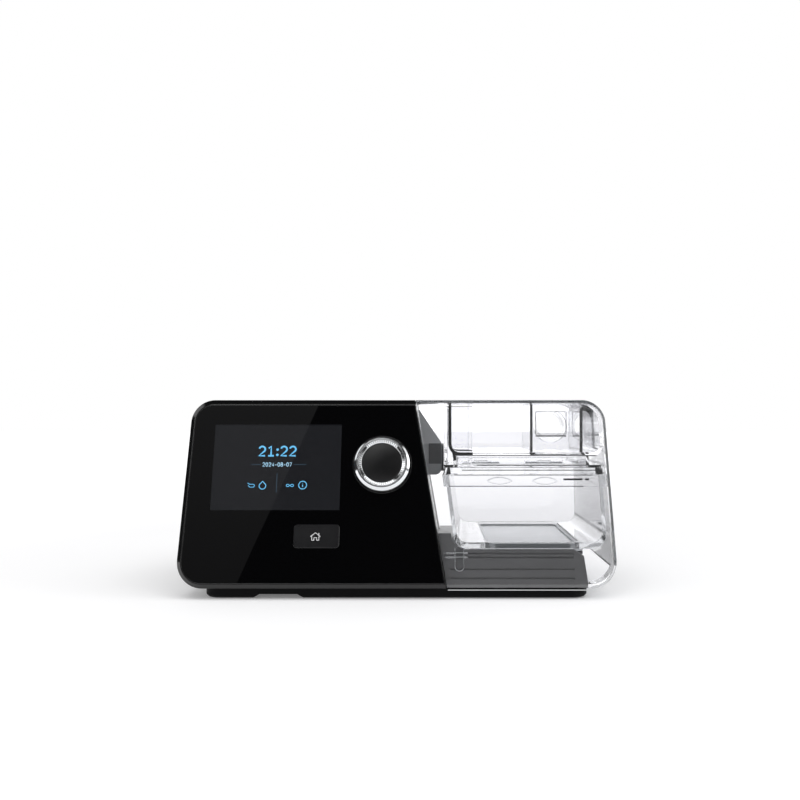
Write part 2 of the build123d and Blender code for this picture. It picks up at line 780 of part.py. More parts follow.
def filter_cover():
    """Louvred door; the pad sits in its rim."""
    outside = half_depth - filter_cover_sink
    inside = outside - filter_cover_thickness
    cover = filter_window(0.0, inside, outside)
    x, z = filter_centre
    pitch = (filter_size[1] - filter_slot_margin[1]) / filter_slots
    for row in range(filter_slots):
        level = z + (row - (filter_slots - 1) / 2) * pitch
        slot = Pos(x, level) * SlotOverall(filter_size[0] - filter_slot_margin[0], pitch / 2)
        cover -= along_y(slot, inside - 1, outside + 1)
    grip = Pos(x + filter_size[0] / 2, z) * Circle(filter_grip_radius)
    return cover - along_y(grip, outside - filter_grip_depth, outside + 1)


def blower_duct():
    """Ribbed silicone sleeve over the blower's spigot and the port's."""
    length = duct_right - duct_left
    profile = Pos(duct_left, 0) * Rectangle(length, duct_wall, align=(Align.MIN, Align.MIN))
    pitch = length / duct_ribs
    for rib in range(duct_ribs):
        profile += Pos(duct_left + (rib + 0.5) * pitch, duct_wall) * Rectangle(pitch / 2, duct_rib_height)
    sleeve = revolve(Pos(0, port_spigot_radius + running_gap) * profile, Axis.X)
    return Pos(0, port_y, port_z) * sleeve


def air_port():
    """Grey boot on the console's wall that leads the air into the tank's lid."""
    cowl = split_x(port_cowl_top)
    outline = Polygon((cowl, port_bottom), (port_end, port_bottom), (port_end, port_top),
                      (cowl + 1.0, port_cowl_top), (cowl, port_cowl_top), align=None)
    corner = outline.vertices().sort_by(Axis.X)[-2:].sort_by(Axis.Y)[0]
    outline = fillet(corner, port_corner)
    front, back = port_y - port_width / 2, port_y + port_width / 2
    boot = along_y(outline, front, back)
    run = (port_cowl_top - port_top) * tan(radians(port_cowl_lean))
    side = Polygon((front, 0), (back, 0), (back, port_top), (back - run, port_cowl_top),
                   (front + run, port_cowl_top), (front, port_top), align=None)
    boot &= extrude(Plane.YZ * side, amount=port_end)
    boot = split(boot, bisect_by=split_plane.offset(-split_gap), keep=Keep.TOP)
    spigot = port_bore(port_spigot_radius, duct_right - port_spigot_length, split_x(port_z) + 1.0)
    return boot + spigot - port_bore(port_bore_radius, 0, port_end + 1)


def port_seal():
    ring = tube(port_seal_radius, port_bore_radius, port_seal_thickness)
    turn = Plane(origin=(port_end, port_y, port_z), x_dir=(0, 1, 0), z_dir=(1, 0, 0))
    return turn * ring


# ---------------------------------------------------------------- plinth and humidifier base
def foot_spots():
    x = (plinth_left + foot_inset, plinth_right - foot_inset)
    y = half_depth - plinth_setback - foot_inset
    return [(x[0], -y), (x[0], y), (x[1], -y), (x[1], y)]


def base_plate():
    """Plinth under console and tank, hollowed from below between its ribs."""
    middle = (plinth_left + plinth_right) / 2
    plan = RectangleRounded(plinth_right - plinth_left, depth - 2 * plinth_setback, plinth_radius)
    plate = Pos(middle, 0, foot_lift) * extrude(plan, amount=body_floor - foot_lift)
    plate = chamfer(plate.edges().group_by(Axis.Z)[0], plinth_bevel)
    x0, y0, x1, y1 = floor_opening
    plate += block(x0 + seat_gap, y0 + seat_gap, body_floor, x1 - seat_gap, y1 - seat_gap,
                   silencer_floor - seat_gap)
    foot = notch_length / 2 + notch_slope
    crown = notch_length / 2 - notch_slope
    notch = Polygon((-foot, 0), (foot, 0), (crown, notch_height), (-crown, notch_height), align=None)
    notch_back = plinth_setback + notch_depth - half_depth
    plate -= along_y(Pos(notch_centre_x, foot_lift) * notch, -half_depth, notch_back)
    pocket_side = pocket_pitch - pocket_rib
    pocket = extrude(RectangleRounded(pocket_side, pocket_side, 2), amount=foot_lift + pocket_depth)
    plate -= GridLocations(pocket_pitch, pocket_pitch, 5, 3) * pocket
    for spot in casing_screws + base_screws_at:
        plate += screw_hole(screw_boss_radius, foot_lift, body_floor, spot)
    for spot in foot_spots():
        plate -= screw_hole(foot_radius + running_gap, 0, foot_lift + foot_recess, spot)
    for spot in casing_screws + base_screws_at:
        plate -= screw_hole(screw_radius + running_gap, 0, body_floor + 1, spot)
        plate -= screw_hole(screw_head_radius + slip_gap, 0, screw_seat, spot)
    return plate


def rubber_feet():
    foot = extrude(Circle(foot_radius), amount=foot_lift + foot_recess)
    return Compound(children=[Pos(x, y) * foot for x, y in foot_spots()])


def base_screws():
    head = extrude(Circle(screw_head_radius), amount=screw_head_height)
    screw = head + extrude(Circle(screw_radius), amount=screw_head_height + screw_length - seat_gap)
    low = screw_seat - screw_head_height
    return Compound(children=[Pos(x, y, low) * screw for x, y in casing_screws + base_screws_at])


def heater_slab(grow, bottom, top):
    size = (heater_plate_size[0] + 2 * grow, heater_plate_size[1] + 2 * grow)
    return Pos(*heater_centre) * rounded_bar(size, heater_corner + grow, bottom, top)


def humidifier_base():
    run, upper_run, drop = base_chamfer
    right = base_right_low - run
    left = split_x(base_shoulder_top)
    outline = Polygon(
        (left, body_floor), (base_right_low, body_floor),
        (right + upper_run, base_top - drop), (right, base_top), (left, base_top), align=None,
    )
    form = along_y(outline, -half_depth, base_back)
    shoulder_back = face_y(base_top) + base_shoulder_depth
    form += block(left, -half_depth, body_floor, left + base_shoulder_reach, shoulder_back, base_shoulder_top)
    form = tank_side(behind_face(form, clear_wall + base_front_gap))
    form -= tub_form(-2 * tub_lift, tub_bottom - 2 * tub_lift, straight=True)
    form -= heater_slab(slip_gap, heater_low, base_top + 1)
    for level in groove_heights:
        cut = block(peg_x - peg_width, -half_depth, level, right, 0, level + groove_size)
        form -= in_front_of(cut, clear_wall + base_front_gap + groove_size)
    for spot in base_screws_at:
        form -= screw_hole(screw_radius + running_gap, 0, screw_seat + screw_length, spot)
    return form


def heater_pad():
    return heater_slab(0, heater_low, heater_low + heater_pad_thickness)


def heater_film():
    low = heater_low + heater_pad_thickness
    return heater_slab(-heater_film_inset, low, low + heater_film_thickness)


def heater_plate():
    low = heater_low + heater_pad_thickness + heater_film_thickness
    plate = heater_slab(0, low, low + heater_plate_thickness)
    return chamfer(plate.edges().group_by(Axis.Z)[-1], 0.5)


# ---------------------------------------------------------------- tank tub
def tub_section(y, inset, low, high, straight):
    """Front-view outline of the tub at one depth: slanted left wall, rounded lower corners."""
    tilt = radians(tub_left_slant)
    shift = 0.0 if straight else tub_back_shift * (y + half_depth) / (tub_back + half_depth)
    side_inset = clear_wall + tub_front_gap + tub_rim_proud + inset

    def left(z):
        return tub_left_low + shift - (z - tub_bottom) * tan(tilt) + inset / cos(tilt)

    corners = [(left(low), low), (side_x(low, side_inset), low),
               (side_x(high, side_inset), high), (left(high), high)]
    outline = Polygon(*corners, align=None)
    radius = max(tub_corner - inset, 1.0)
    outline = fillet(outline.vertices().sort_by(Axis.Y)[:2], radius)
    return Plane.XZ.offset(-y) * outline


def tub_form(inset, low, straight=False):
    high = tray_floor_low + tray_corner
    back = tub_back - inset
    front = tub_section(-half_depth, inset, low, high, straight)
    form = loft([front, tub_section(back, inset, low, high, straight)])
    return behind_face(form, clear_wall + tub_front_gap + tub_rim_proud + inset)


def level_band(form, low, high):
    return form & block(-width, -depth, low, width, depth, high)


def knuckle(centre_x, offset):
    """Hinge eye on the rear axis; offset counts knuckle places from the hinge's middle."""
    x = centre_x + offset * (knuckle_length + knuckle_gap)
    turn = Plane(origin=(x - knuckle_length / 2, hinge_y, hinge_z), x_dir=(0, 1, 0), z_dir=(1, 0, 0))
    return turn * extrude(Circle(knuckle_radius), amount=knuckle_length), x


def hinge_bore():
    turn = Plane(origin=(0, hinge_y, hinge_z), x_dir=(0, 1, 0), z_dir=(1, 0, 0))
    return turn * extrude(Circle(hinge_pin_radius + running_gap), amount=width)


def tank_tub():
    rim_low = tub_rim_top - tub_rim_height
    tub = level_band(tub_form(0.0, tub_bottom), tub_bottom, tub_rim_top)
    tub += level_band(tub_form(-tub_rim_proud, tub_bottom), rim_low, tub_rim_top)
    tub -= tub_form(tub_wall, tub_bottom + tub_floor)
    for centre in lug_centres:
        tip = lug_size[0] / 2
        bulge = lug_size[1] / 2
        arcs = [ThreePointArc((-tip, 0), (0, side * bulge), (tip, 0)) for side in (-1, 1)]
        lens = Pos(centre, tub_rim_top - tub_rim_height / 2) * make_face(arcs)
        lug = along_y(lens, -half_depth, 0)
        front = clear_wall + tub_front_gap
        tub += in_front_of(behind_face(lug, front - lug_proud), front + tub_rim_proud)
    opening = rounded_bar(tub_opening, tub_plate_corner + tub_seal_width, 0, tub_bottom + 2 * tub_floor)
    tub -= Pos(*heater_centre) * opening
    for middle in hinge_centres:
        for offset in (-1, 1):
            eye, x = knuckle(middle, offset)
            web = block(x - knuckle_length / 2, tub_back - tub_wall / 2, hinge_z - knuckle_web,
                        x + knuckle_length / 2, hinge_y + hinge_pin_radius, tub_rim_top)
            tub += eye + web
    return tub - hinge_bore()


def tub_plate():
    """Metal heat plate that closes the tub's floor."""
    plate = rounded_bar(tub_plate_size, tub_plate_corner, tub_bottom, tub_bottom + tub_plate_thickness)
    return Pos(*heater_centre) * plate


def tub_plate_seal():
    outer = RectangleRounded(tub_opening[0], tub_opening[1], tub_plate_corner + tub_seal_width)
    inner = RectangleRounded(tub_plate_size[0], tub_plate_size[1], tub_plate_corner)
    x, y = heater_centre
    return Pos(x, y, tub_bottom) * extrude(outer - inner, amount=tub_seal_height)


def hinge_pins():
    pins = []
    length = 3 * knuckle_length + 2 * knuckle_gap - 1.0
    for middle in hinge_centres:
        turn = Plane(origin=(middle - length / 2, hinge_y, hinge_z), x_dir=(0, 1, 0), z_dir=(1, 0, 0))
        pins.append(turn * extrude(Circle(hinge_pin_radius), amount=length))
    return Compound(children=pins)


# ---------------------------------------------------------------- tank lid
def lid_spigot_hole(radius, y0, y1):
    return along_y(Pos(*spigot_centre) * Circle(radius), y0, y1)


def lid_shell():
    """Clear cover in one piece: leaning front, top, right side and rear wall."""
    shell = tank_side(body_form()) & block(-width, -depth, 0, width, lid_back, height + 1)
    shell -= behind_face(body_core(clear_wall, -half_depth, lid_back - clear_wall), clear_wall)
    floor = block(0, -half_depth, 0, wrap_left, depth, body_floor + clear_wall + 1)
    shell -= behind_face(floor, clear_wall)
    shell -= block(0, lid_wrap_back, 0, width, depth, lid_wall_foot)
    inner_right = side_x(tub_rim_top, clear_wall + 0.4)
    shell -= block(0, lid_back - clear_wall - 1, 0, inner_right, depth, tub_rim_top + seat_gap)
    peg = Pos(peg_x, (peg_low + peg_top) / 2) * SlotOverall(peg_top - peg_low, peg_width, rotation=90)
    peg = in_front_of(along_y(peg, -half_depth, 0), clear_wall + rib_depth)
    shell += behind_face(peg, clear_wall / 2)
    for level in rib_heights:
        rib = block(split_x(level) + 2.0, -half_depth, level, rib_right, 0, level + rib_thickness)
        shell += behind_face(in_front_of(rib, clear_wall + rib_depth), clear_wall / 2)
    shell -= block(0, lid_back - clear_wall - 1, 0, split_x(hinge_z) + lid_swing_gap, depth, lid_swing_top)
    for middle in hinge_centres:
        eye, x = knuckle(middle, 0)
        web = block(x - knuckle_length / 2, lid_back - clear_wall, hinge_z + hinge_pin_radius,
                    x + knuckle_length / 2, hinge_y, hinge_z + knuckle_radius)
        shell += eye + web
    shell -= hinge_bore()
    return shell - lid_spigot_hole(spigot_root + slip_gap, lid_back - 2 * clear_wall, lid_back + 1)


def tray_form(inset, low, corner):
    """Lid tray as a prism: upright left wall, rounded lower edge, leaning front."""
    side_inset = clear_wall + tray_gap + inset
    corners = [(tray_left + inset, low), (side_x(low, side_inset), low),
               (side_x(tray_top, side_inset), tray_top), (tray_left + inset, tray_top)]
    outline = Polygon(*corners, align=None)
    outline = fillet(outline.vertices().sort_by(Axis.Y)[:2], corner)
    upper = outline.vertices().sort_by(Axis.Y)[-2:].sort_by(Axis.X)[-1]
    outline = fillet(upper, top_radius - clear_wall)
    return behind_face(along_y(outline, -half_depth, tray_back - inset), clear_wall + tray_gap + inset)


def tray_room():
    return tray_form(tray_wall, tray_floor_low + tray_wall, tray_corner - tray_wall)


def chimney_block(inset, low, high):
    aside = port_width / 2 - inset
    return block(inlet_left + inset, port_y - aside, low, inlet_right - inset, port_y + aside, high)


def outlet_block(inset, low):
    back = tray_back - tray_wall
    return block(outlet_left + inset, outlet_front + inset, low, outlet_right - inset, back, height)


def lid_tray():
    """Basin of the lid: air chamber round the inlet chimney and the outlet walls."""
    tray = tray_form(0.0, tray_floor_low, tray_corner) - tray_room()
    tray -= chimney_block(0.0, deck_top, inlet_top)
    tray -= outlet_block(tray_wall, tray_floor_low) & tray_form(tray_wall, tray_floor_low - 1, tray_corner)
    return tray - lid_spigot_hole(spigot_root + slip_gap, tray_back - 2 * tray_wall, tray_back + 1)


def inlet_chimney():
    """Box duct from the console's port down into the tub, closed on top."""
    chimney = chimney_block(0.0, deck_top, inlet_top)
    chimney = fillet(chimney.edges().group_by(Axis.Z)[-1], chimney_edge)
    chimney -= chimney_block(tray_wall, 0.0, inlet_top - tray_wall)
    return chimney - port_bore(port_bore_radius, port_end, inlet_left + 2 * tray_wall)


def outlet_walls():
    """Fence on the tray's floor that leads the humid air to the hose spigot."""
    fence = outlet_block(0.0, tray_floor_low) & tray_room()
    return fence - outlet_block(tray_wall, tray_floor_low)


def lid_deck():
    """Flange that carries the seal, and the skirt between it and the tray."""
    deck = level_band(tub_form(0.0, tub_bottom), tray_skirt_low, deck_top)
    deck -= tub_form(deck_width, tub_bottom)
    skirt = level_band(tub_form(skirt_inset, tub_bottom), deck_top, tray_floor_low + skirt_reach)
    skirt -= tub_form(skirt_inset + tray_wall, tub_bottom)
    skirt -= tray_form(0.0, tray_floor_low, tray_corner)
    return deck + (skirt - chimney_block(0.0, deck_top, inlet_top))


def lid_seal():
    ring = level_band(tub_form(-seal_proud, tub_bottom), tub_rim_top + seat_gap, tray_skirt_low)
    return ring - tub_form(seal_width - seal_proud, tub_bottom)


def outlet_port():
    """Hose spigot: flange with a framed opening inside the lid, thicker root, bore to the back."""
    inside = tray_back - tray_wall
    spigot = lid_spigot_hole(spigot_radius, inside, half_depth)
    spigot += lid_spigot_hole(spigot_root, inside, lid_back + spigot_root_end)
    spigot -= lid_spigot_hole(spigot_bore, inside, half_depth + 1)
    front = inside - spigot_flange_thickness
    frame_width, frame_height = spigot_frame
    x, z = spigot_centre
    middle = Pos(x, z + spigot_window_rise)
    framed = middle * RectangleRounded(spigot_window[0] + 2 * frame_width, spigot_window[1] + 2 * frame_width,
                                       spigot_flange_corner)
    flange = Pos(x, z) * RectangleRounded(spigot_flange[0], spigot_flange[1], spigot_flange_corner)
    spigot += along_y(flange, front, inside) + along_y(framed, front - frame_height, front)
    window = middle * RectangleRounded(spigot_window[0], spigot_window[1], spigot_flange_corner)
    return spigot - along_y(window, outlet_front, inside)


# ---------------------------------------------------------------- export
pieces = {
    "main_casing": main_casing,
    "front_bezel": front_bezel,
    "front_glass": front_glass,
    "display_module": display_module,
    "display_chassis": display_chassis,
    "control_board": control_board,
    "encoder_body": encoder_body,
    "encoder_sleeve": encoder_sleeve,
    "dial_shaft": dial_shaft,
    "dial_surround": dial_surround,
    "dial_ring": dial_ring,
    "dial_cap": dial_cap,
    "home_button": home_button,
    "home_switch": home_switch,
    "main_board": main_board,
    "card_socket": card_socket,
    "memory_card": memory_card,
    "dc_jack": dc_jack,
    "blower_lower": blower_lower,
    "blower_upper": blower_upper,
    "impeller": impeller,
    "motor_shaft": motor_shaft,
    "blower_motor": blower_motor,
    "blower_mounts": blower_mounts,
    "silencer_case": silencer_case,
    "silencer_lid": silencer_lid,
    "silencer_foam": silencer_foam,
    "inlet_gasket": inlet_gasket,
    "air_filter": air_filter,
    "filter_cover": filter_cover,
    "blower_duct": blower_duct,
    "air_port": air_port,
    "port_seal": port_seal,
    "base_plate": base_plate,
    "rubber_feet": rubber_feet,
    "base_screws": base_screws,
    "humidifier_base": humidifier_base,
    "heater_pad": heater_pad,
    "heater_film": heater_film,
    "heater_plate": heater_plate,
    "tank_tub": tank_tub,
    "tub_plate": tub_plate,
    "tub_plate_seal": tub_plate_seal,
    "hinge_pins": hinge_pins,
    "lid_shell": lid_shell,
    "lid_tray": lid_tray,
    "inlet_chimney": inlet_chimney,
    "outlet_walls": outlet_walls,
    "lid_deck": lid_deck,
    "lid_seal": lid_seal,
    "outlet_port": outlet_port,
}

os.makedirs("parts", exist_ok=True)
for name, make in pieces.items():
    export_step(make(), f"parts/{name}.step")
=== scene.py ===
import json
import math
import bmesh
import bpy
from mathutils import Matrix, Vector


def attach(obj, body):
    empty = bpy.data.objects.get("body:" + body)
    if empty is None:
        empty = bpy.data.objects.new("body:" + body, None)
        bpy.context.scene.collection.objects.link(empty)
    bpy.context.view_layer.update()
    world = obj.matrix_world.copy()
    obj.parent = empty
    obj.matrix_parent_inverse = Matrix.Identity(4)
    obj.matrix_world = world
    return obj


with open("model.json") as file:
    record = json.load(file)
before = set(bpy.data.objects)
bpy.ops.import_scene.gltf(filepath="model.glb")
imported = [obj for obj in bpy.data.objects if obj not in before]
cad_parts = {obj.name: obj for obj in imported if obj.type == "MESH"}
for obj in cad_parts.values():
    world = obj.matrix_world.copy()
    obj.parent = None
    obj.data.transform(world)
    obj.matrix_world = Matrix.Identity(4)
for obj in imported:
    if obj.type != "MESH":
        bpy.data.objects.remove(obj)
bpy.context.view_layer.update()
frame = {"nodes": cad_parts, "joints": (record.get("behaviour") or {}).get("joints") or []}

# Dressing for the CPAP machine: a finish for every carried-over node, what the display shows,
# the key's sign, painted shade in the dial's knurl and on the air port, painted highlights and
# dark outlines on the clear tank's edges, and the studio round it.
# Lengths are in metres; mm() turns millimetres into them.

scene = bpy.context.scene
scene.view_settings.view_transform = "Standard"


def mm(value):
    return value / 1000


def linearColour(hexText):
    channels = [int(hexText[i:i + 2], 16) / 255 for i in (1, 3, 5)]
    linear = [c / 12.92 if c <= 0.04045 else ((c + 0.055) / 1.055) ** 2.4 for c in channels]
    return (*linear, 1.0)


def addNode(tree, kind, inputs=None, **settings):
    # an input goes by its identifier, name or number, and takes a value or a socket to link
    node = tree.nodes.new(kind)
    for name, value in settings.items():
        setattr(node, name, value)
    sockets = {socket.identifier: socket for socket in node.inputs}
    for name, value in (inputs or {}).items():
        socket = sockets[name] if name in sockets else node.inputs[name]
        if isinstance(value, bpy.types.NodeSocket):
            tree.links.new(value, socket)
        else:
            socket.default_value = value
    return node


# what all materials share: the start and end of a material, its patterns, tones and bump
def newMaterial(name):
    material = bpy.data.materials.new(name)
    material.use_nodes = True
    tree = material.node_tree
    tree.nodes.clear()
    place = addNode(tree, "ShaderNodeTexCoord").outputs["Object"]
    return material, tree, place


def finishMaterial(tree, shader, volume=None):
    ends = {"Surface": shader.outputs[0]}
    if volume:
        ends["Volume"] = volume.outputs[0]
    addNode(tree, "ShaderNodeOutputMaterial", ends)


def grainOf(tree, place, size, detail=3.0, roughness=0.5, stretch=(1, 1, 1)):
    # one blob of the pattern is about size across
    scaled = addNode(tree, "ShaderNodeMapping", {"Scale": stretch, "Vector": place}).outputs[0]
    return addNode(tree, "ShaderNodeTexNoise", {
        "Scale": 1 / size, "Detail": detail, "Roughness": roughness, "Vector": scaled,
    }).outputs[0]


grainReach = (0.3, 0.7)         # where most of a pattern's values lie
bevelSamples = 6


def unevenly(tree, pattern, low, high):
    # a roughness that follows the pattern from low to high
    return addNode(tree, "ShaderNodeMapRange", {
        "Value": pattern, "From Min": grainReach[0], "From Max": grainReach[1], "To Min": low, "To Max": high,
    }).outputs[0]


def twoTones(tree, pattern, first, second):
    # a colour that follows the pattern from the first tone to the second
    tones = addNode(tree, "ShaderNodeMix", {
        "Factor_Float": pattern, "A_Color": linearColour(first), "B_Color": linearColour(second),
    }, data_type="RGBA")
    return next(socket for socket in tones.outputs if socket.identifier == "Result_Color")


def bumpOf(tree, height, depth, edge=0.0):
    # edge is the radius of the small round that tooling leaves on sharp corners
    inputs = {"Height": height, "Distance": depth}
    if edge:
        inputs["Normal"] = addNode(tree, "ShaderNodeBevel", {"Radius": edge}, samples=bevelSamples).outputs[0]
    return addNode(tree, "ShaderNodeBump", inputs).outputs[0]


mouldedLook = {
    "ior": 1.52,                # ABS and its kin
    "colourPatch": mm(28),
    "glossPatch": mm(9),
}


def moulded(name, colour, tint, roughness, grain, depth, drift=0.04, gloss=0.5, edge=0.0):
    # a moulded solid: slight drift of colour and gloss, and the tool's grain as bump
    material, tree, place = newMaterial(name)
    patches = grainOf(tree, place, mouldedLook["glossPatch"])
    shader = addNode(tree, "ShaderNodeBsdfPrincipled", {
        "IOR": mouldedLook["ior"],
        "Specular IOR Level": gloss,
        "Base Color": twoTones(tree, grainOf(tree, place, mouldedLook["colourPatch"], 2.0), colour, tint),
        "Roughness": unevenly(tree, patches, roughness - drift, roughness + drift),
        "Normal": bumpOf(tree, grainOf(tree, place, grain, 4.0, 0.6), depth, edge),
    })
    finishMaterial(tree, shader)
    return material


metalLook = {
    "streak": mm(2.5),          # real brushing is finer, this is what shows
    "swing": 0.25,              # share by which the roughness changes from streak to streak
}


def bareMetal(name, colour, roughness, stretch, depth):
    # streaks run along the axis with the smallest stretch
    material, tree, place = newMaterial(name)
    streaks = grainOf(tree, place, metalLook["streak"], 4.0, 0.6, stretch)
    swing = roughness * metalLook["swing"]
    shader = addNode(tree, "ShaderNodeBsdfPrincipled", {
        "Metallic": 1.0,
        "Base Color": linearColour(colour),
        "Roughness": unevenly(tree, streaks, roughness - swing, roughness + swing),
        "Normal": bumpOf(tree, streaks, depth),
    })
    finishMaterial(tree, shader)
    return material


clearLook = {
    "ior": 1.57,                # co-polyester, a little over acrylic
    "roughness": 0.0,
    "tint": "#fdfdfe",
    "shadowTint": "#f4f5f6",    # what lamps lose in one wall
    "waviness": mm(0.012),
    "waveLength": mm(26),
    "grey": "#8c9094",          # what long paths inside the walls turn to
    "greyDensity": 0.0,         # per metre
    # painted shade on walls that turn away from the eye, partly for their longer path through the wall
    "slantShade": "#4c4e51",     # walls that turn away from the eye
    "slant": (0.5, 1.0),
    "edge": mm(0.5),
}
coverLook = {**clearLook, "greyDensity": 30.0}
tubLook = {**clearLook, "greyDensity": 10.0}
trayLook = {**clearLook, "slantShade": "#a4a6a9", "slant": (0.6, 1.0)}   # thinner walls, paler outlines


def clearMoulding(name, look):
    # polished injection moulding in clear co-polyester: sharp see-through walls whose flow leaves
    # a faint waviness and whose slanting parts get painted shade, partly for the longer path
    # through the wall, so every edge has an outline; lamps pass it so that the inside is lit
    material, tree, place = newMaterial(name)
    waves = grainOf(tree, place, look["waveLength"], 1.0)
    # painted shade where the walls turn away from the eye
    shadedSlant = addNode(tree, "ShaderNodeMapRange", {
        "Value": addNode(tree, "ShaderNodeLayerWeight", {"Blend": 0.5}).outputs["Facing"],
        "From Min": look["slant"][0],
        "From Max": look["slant"][1],
    }).outputs[0]
    glass = addNode(tree, "ShaderNodeBsdfPrincipled", {
        "IOR": look["ior"],
        "Roughness": look["roughness"],
        "Transmission Weight": 1.0,
        "Base Color": twoTones(tree, shadedSlant, look["tint"], look["slantShade"]),
        "Normal": bumpOf(tree, waves, look["waviness"], look["edge"]),
    })
    lampPath = addNode(tree, "ShaderNodeBsdfTransparent", {"Color": linearColour(look["shadowTint"])})
    lampRay = addNode(tree, "ShaderNodeLightPath").outputs["Is Shadow Ray"]
    wall = addNode(tree, "ShaderNodeMixShader", {0: lampRay, 1: glass.outputs[0], 2: lampPath.outputs[0]})
    soak = None
    if look["greyDensity"]:
        soak = addNode(tree, "ShaderNodeVolumeAbsorption", {
            "Color": linearColour(look["grey"]), "Density": look["greyDensity"],
        })
    finishMaterial(tree, wall, soak)
    return material


thinLook = {
    "ior": 1.5,
    "colour": "#c9ccce",
    "tint": "#d3d6d8",
    "patch": mm(20),
    "roughness": 0.12,
    "veil": (0.04, 0.75),       # how much a wall covers, seen square on and edge on
    "slant": (0.35, 1.0),
    "waviness": mm(0.01),
    "waveLength": mm(26),
}


def thinMoulding(name, look):
    # clear polypropylene walls that touch the cover: looked straight through, greyer and
    # shinier towards their edges
    material, tree, place = newMaterial(name)
    veil = addNode(tree, "ShaderNodeMapRange", {
        "Value": addNode(tree, "ShaderNodeLayerWeight", {"Blend": 0.5}).outputs["Facing"],
        "From Min": look["slant"][0],
        "From Max": look["slant"][1],
        "To Min": look["veil"][0],
        "To Max": look["veil"][1],
    }).outputs[0]
    shader = addNode(tree, "ShaderNodeBsdfPrincipled", {
        "IOR": look["ior"],
        "Roughness": look["roughness"],
        "Base Color": twoTones(tree, grainOf(tree, place, look["patch"], 2.0), look["colour"], look["tint"]),
        "Alpha": veil,
        "Normal": bumpOf(tree, grainOf(tree, place, look["waveLength"], 1.0), look["waviness"]),
    })
    finishMaterial(tree, shader)
    return material


# the dial's joint gives the leaning face's place: x to the right, t up the face and out along
# its outward normal, counted from the dial's or the display's middle
dialJoint = next(joint for joint in frame["joints"] if joint["name"] == "dial_turn")
faceNormal = Vector(dialJoint["axis"]).normalized()
faceUp = faceNormal.cross(Vector((1, 0, 0)))
dialFrame = Matrix.Translation(dialJoint["pos_m"]) @ Matrix((
    (1, faceUp.x, faceNormal.x, 0),
    (0, faceUp.y, faceNormal.y, 0),
    (0, faceUp.z, faceNormal.z, 0),
    (0, 0, 0, 1),
))
displayFromDial = (mm(-64.3), mm(-1.4), 0)
faceFrame = dialFrame @ Matrix.Translation(displayFromDial)

faceLook = {
    "ior": 1.49,
    "roughness": 0.01,
    "print": "#020203",
    "windowSize": (mm(78), mm(53.5)),
    "windowTint": "#8f9094",
    "waviness": mm(0.02),
    "waveLength": mm(60),
}


def printedFace(name, look):
    # 2 mm acrylic, polished, printed black on its back round a clear smoke-tinted window
    material, tree, place = newMaterial(name)
    axes = addNode(tree, "ShaderNodeSeparateXYZ", {"Vector": place}).outputs
    middle = faceFrame.translation
    width, height = look["windowSize"]
    spans = []
    for axis, centre, half in (("X", middle.x, width / 2), ("Z", middle.z, height / 2 * faceUp.z)):
        offset = addNode(tree, "ShaderNodeMath", {0: axes[axis], 1: centre}, operation="SUBTRACT")
        away = addNode(tree, "ShaderNodeMath", {0: offset.outputs[0]}, operation="ABSOLUTE")
        within = addNode(tree, "ShaderNodeMath", {0: away.outputs[0], 1: half}, operation="LESS_THAN")
        spans.append(within.outputs[0])
    window = addNode(tree, "ShaderNodeMath", dict(enumerate(spans)), operation="MULTIPLY").outputs[0]
    shader = addNode(tree, "ShaderNodeBsdfPrincipled", {
        "IOR": look["ior"],
        "Roughness": look["roughness"],
        "Base Color": twoTones(tree, window, look["print"], look["windowTint"]),
        "Transmission Weight": window,
        "Normal": bumpOf(tree, grainOf(tree, place, look["waveLength"], 1.0), look["waviness"]),
    })
    finishMaterial(tree, shader)
    return material


panelLook = {
    # the display's glass and polariser, with the back light leaking through
    "body": "#0c0c0d",
    "roughness": 0.3,
    "patch": mm(60),
    "colour": "#1e1f21",
    "tint": "#242528",
    "glow": 2.2,
}
markLook = {
    # a lit part of the display's picture
    "body": "#101314",
    "roughness": 0.4,
    "patch": mm(6),
    "glow": 3.7,                # the window's smoke tint takes the rest
}


def litSurface(name, look):
    # a part of the liquid-crystal display: dark in itself, with light of two tones coming out
    material, tree, place = newMaterial(name)
    patches = grainOf(tree, place, look["patch"], 1.0)
    shader = addNode(tree, "ShaderNodeBsdfPrincipled", {
        "Base Color": linearColour(look["body"]),
        "Roughness": look["roughness"],
        "Emission Strength": look["glow"],
        "Emission Color": twoTones(tree, patches, look["colour"], look["tint"]),
    })
    finishMaterial(tree, shader)
    return material


capLook = {
    "ior": 1.5,
    "colour": "#0b0b0c",
    "tint": "#0e0e10",
    "colourPatch": mm(20),
    "roughness": (0.31, 0.37),
    "glossPatch": mm(6),
    "radius": mm(12.3),
    "crown": mm(1.6),
    "paintGrain": mm(0.6),
    "paintDepth": mm(0.01),
}


def crownedCap(name, look):
    # soft-touch paint on a slightly crowned cap, which carries the light from edge to edge
    material, tree, place = newMaterial(name)
    away = addNode(tree, "ShaderNodeVectorMath", {0: place, 1: dialFrame.translation}, operation="DISTANCE")
    share = addNode(tree, "ShaderNodeMath", {0: away.outputs["Value"], 1: look["radius"]}, operation="DIVIDE")
    fall = addNode(tree, "ShaderNodeMath", {0: share.outputs[0], 1: 2.0}, operation="POWER")
    crown = addNode(tree, "ShaderNodeMath", {0: 1.0, 1: fall.outputs[0]}, operation="SUBTRACT")
    paint = addNode(tree, "ShaderNodeBump", {
        "Height": grainOf(tree, place, look["paintGrain"], 4.0),
        "Distance": look["paintDepth"],
        "Normal": bumpOf(tree, crown.outputs[0], look["crown"]),
    })
    patches = grainOf(tree, place, look["colourPatch"], 2.0)
    shader = addNode(tree, "ShaderNodeBsdfPrincipled", {
        "IOR": look["ior"],
        "Base Color": twoTones(tree, patches, look["colour"], look["tint"]),
        "Roughness": unevenly(tree, grainOf(tree, place, look["glossPatch"]), *look["roughness"]),
        "Normal": paint.outputs[0],
    })
    finishMaterial(tree, shader)
    return material


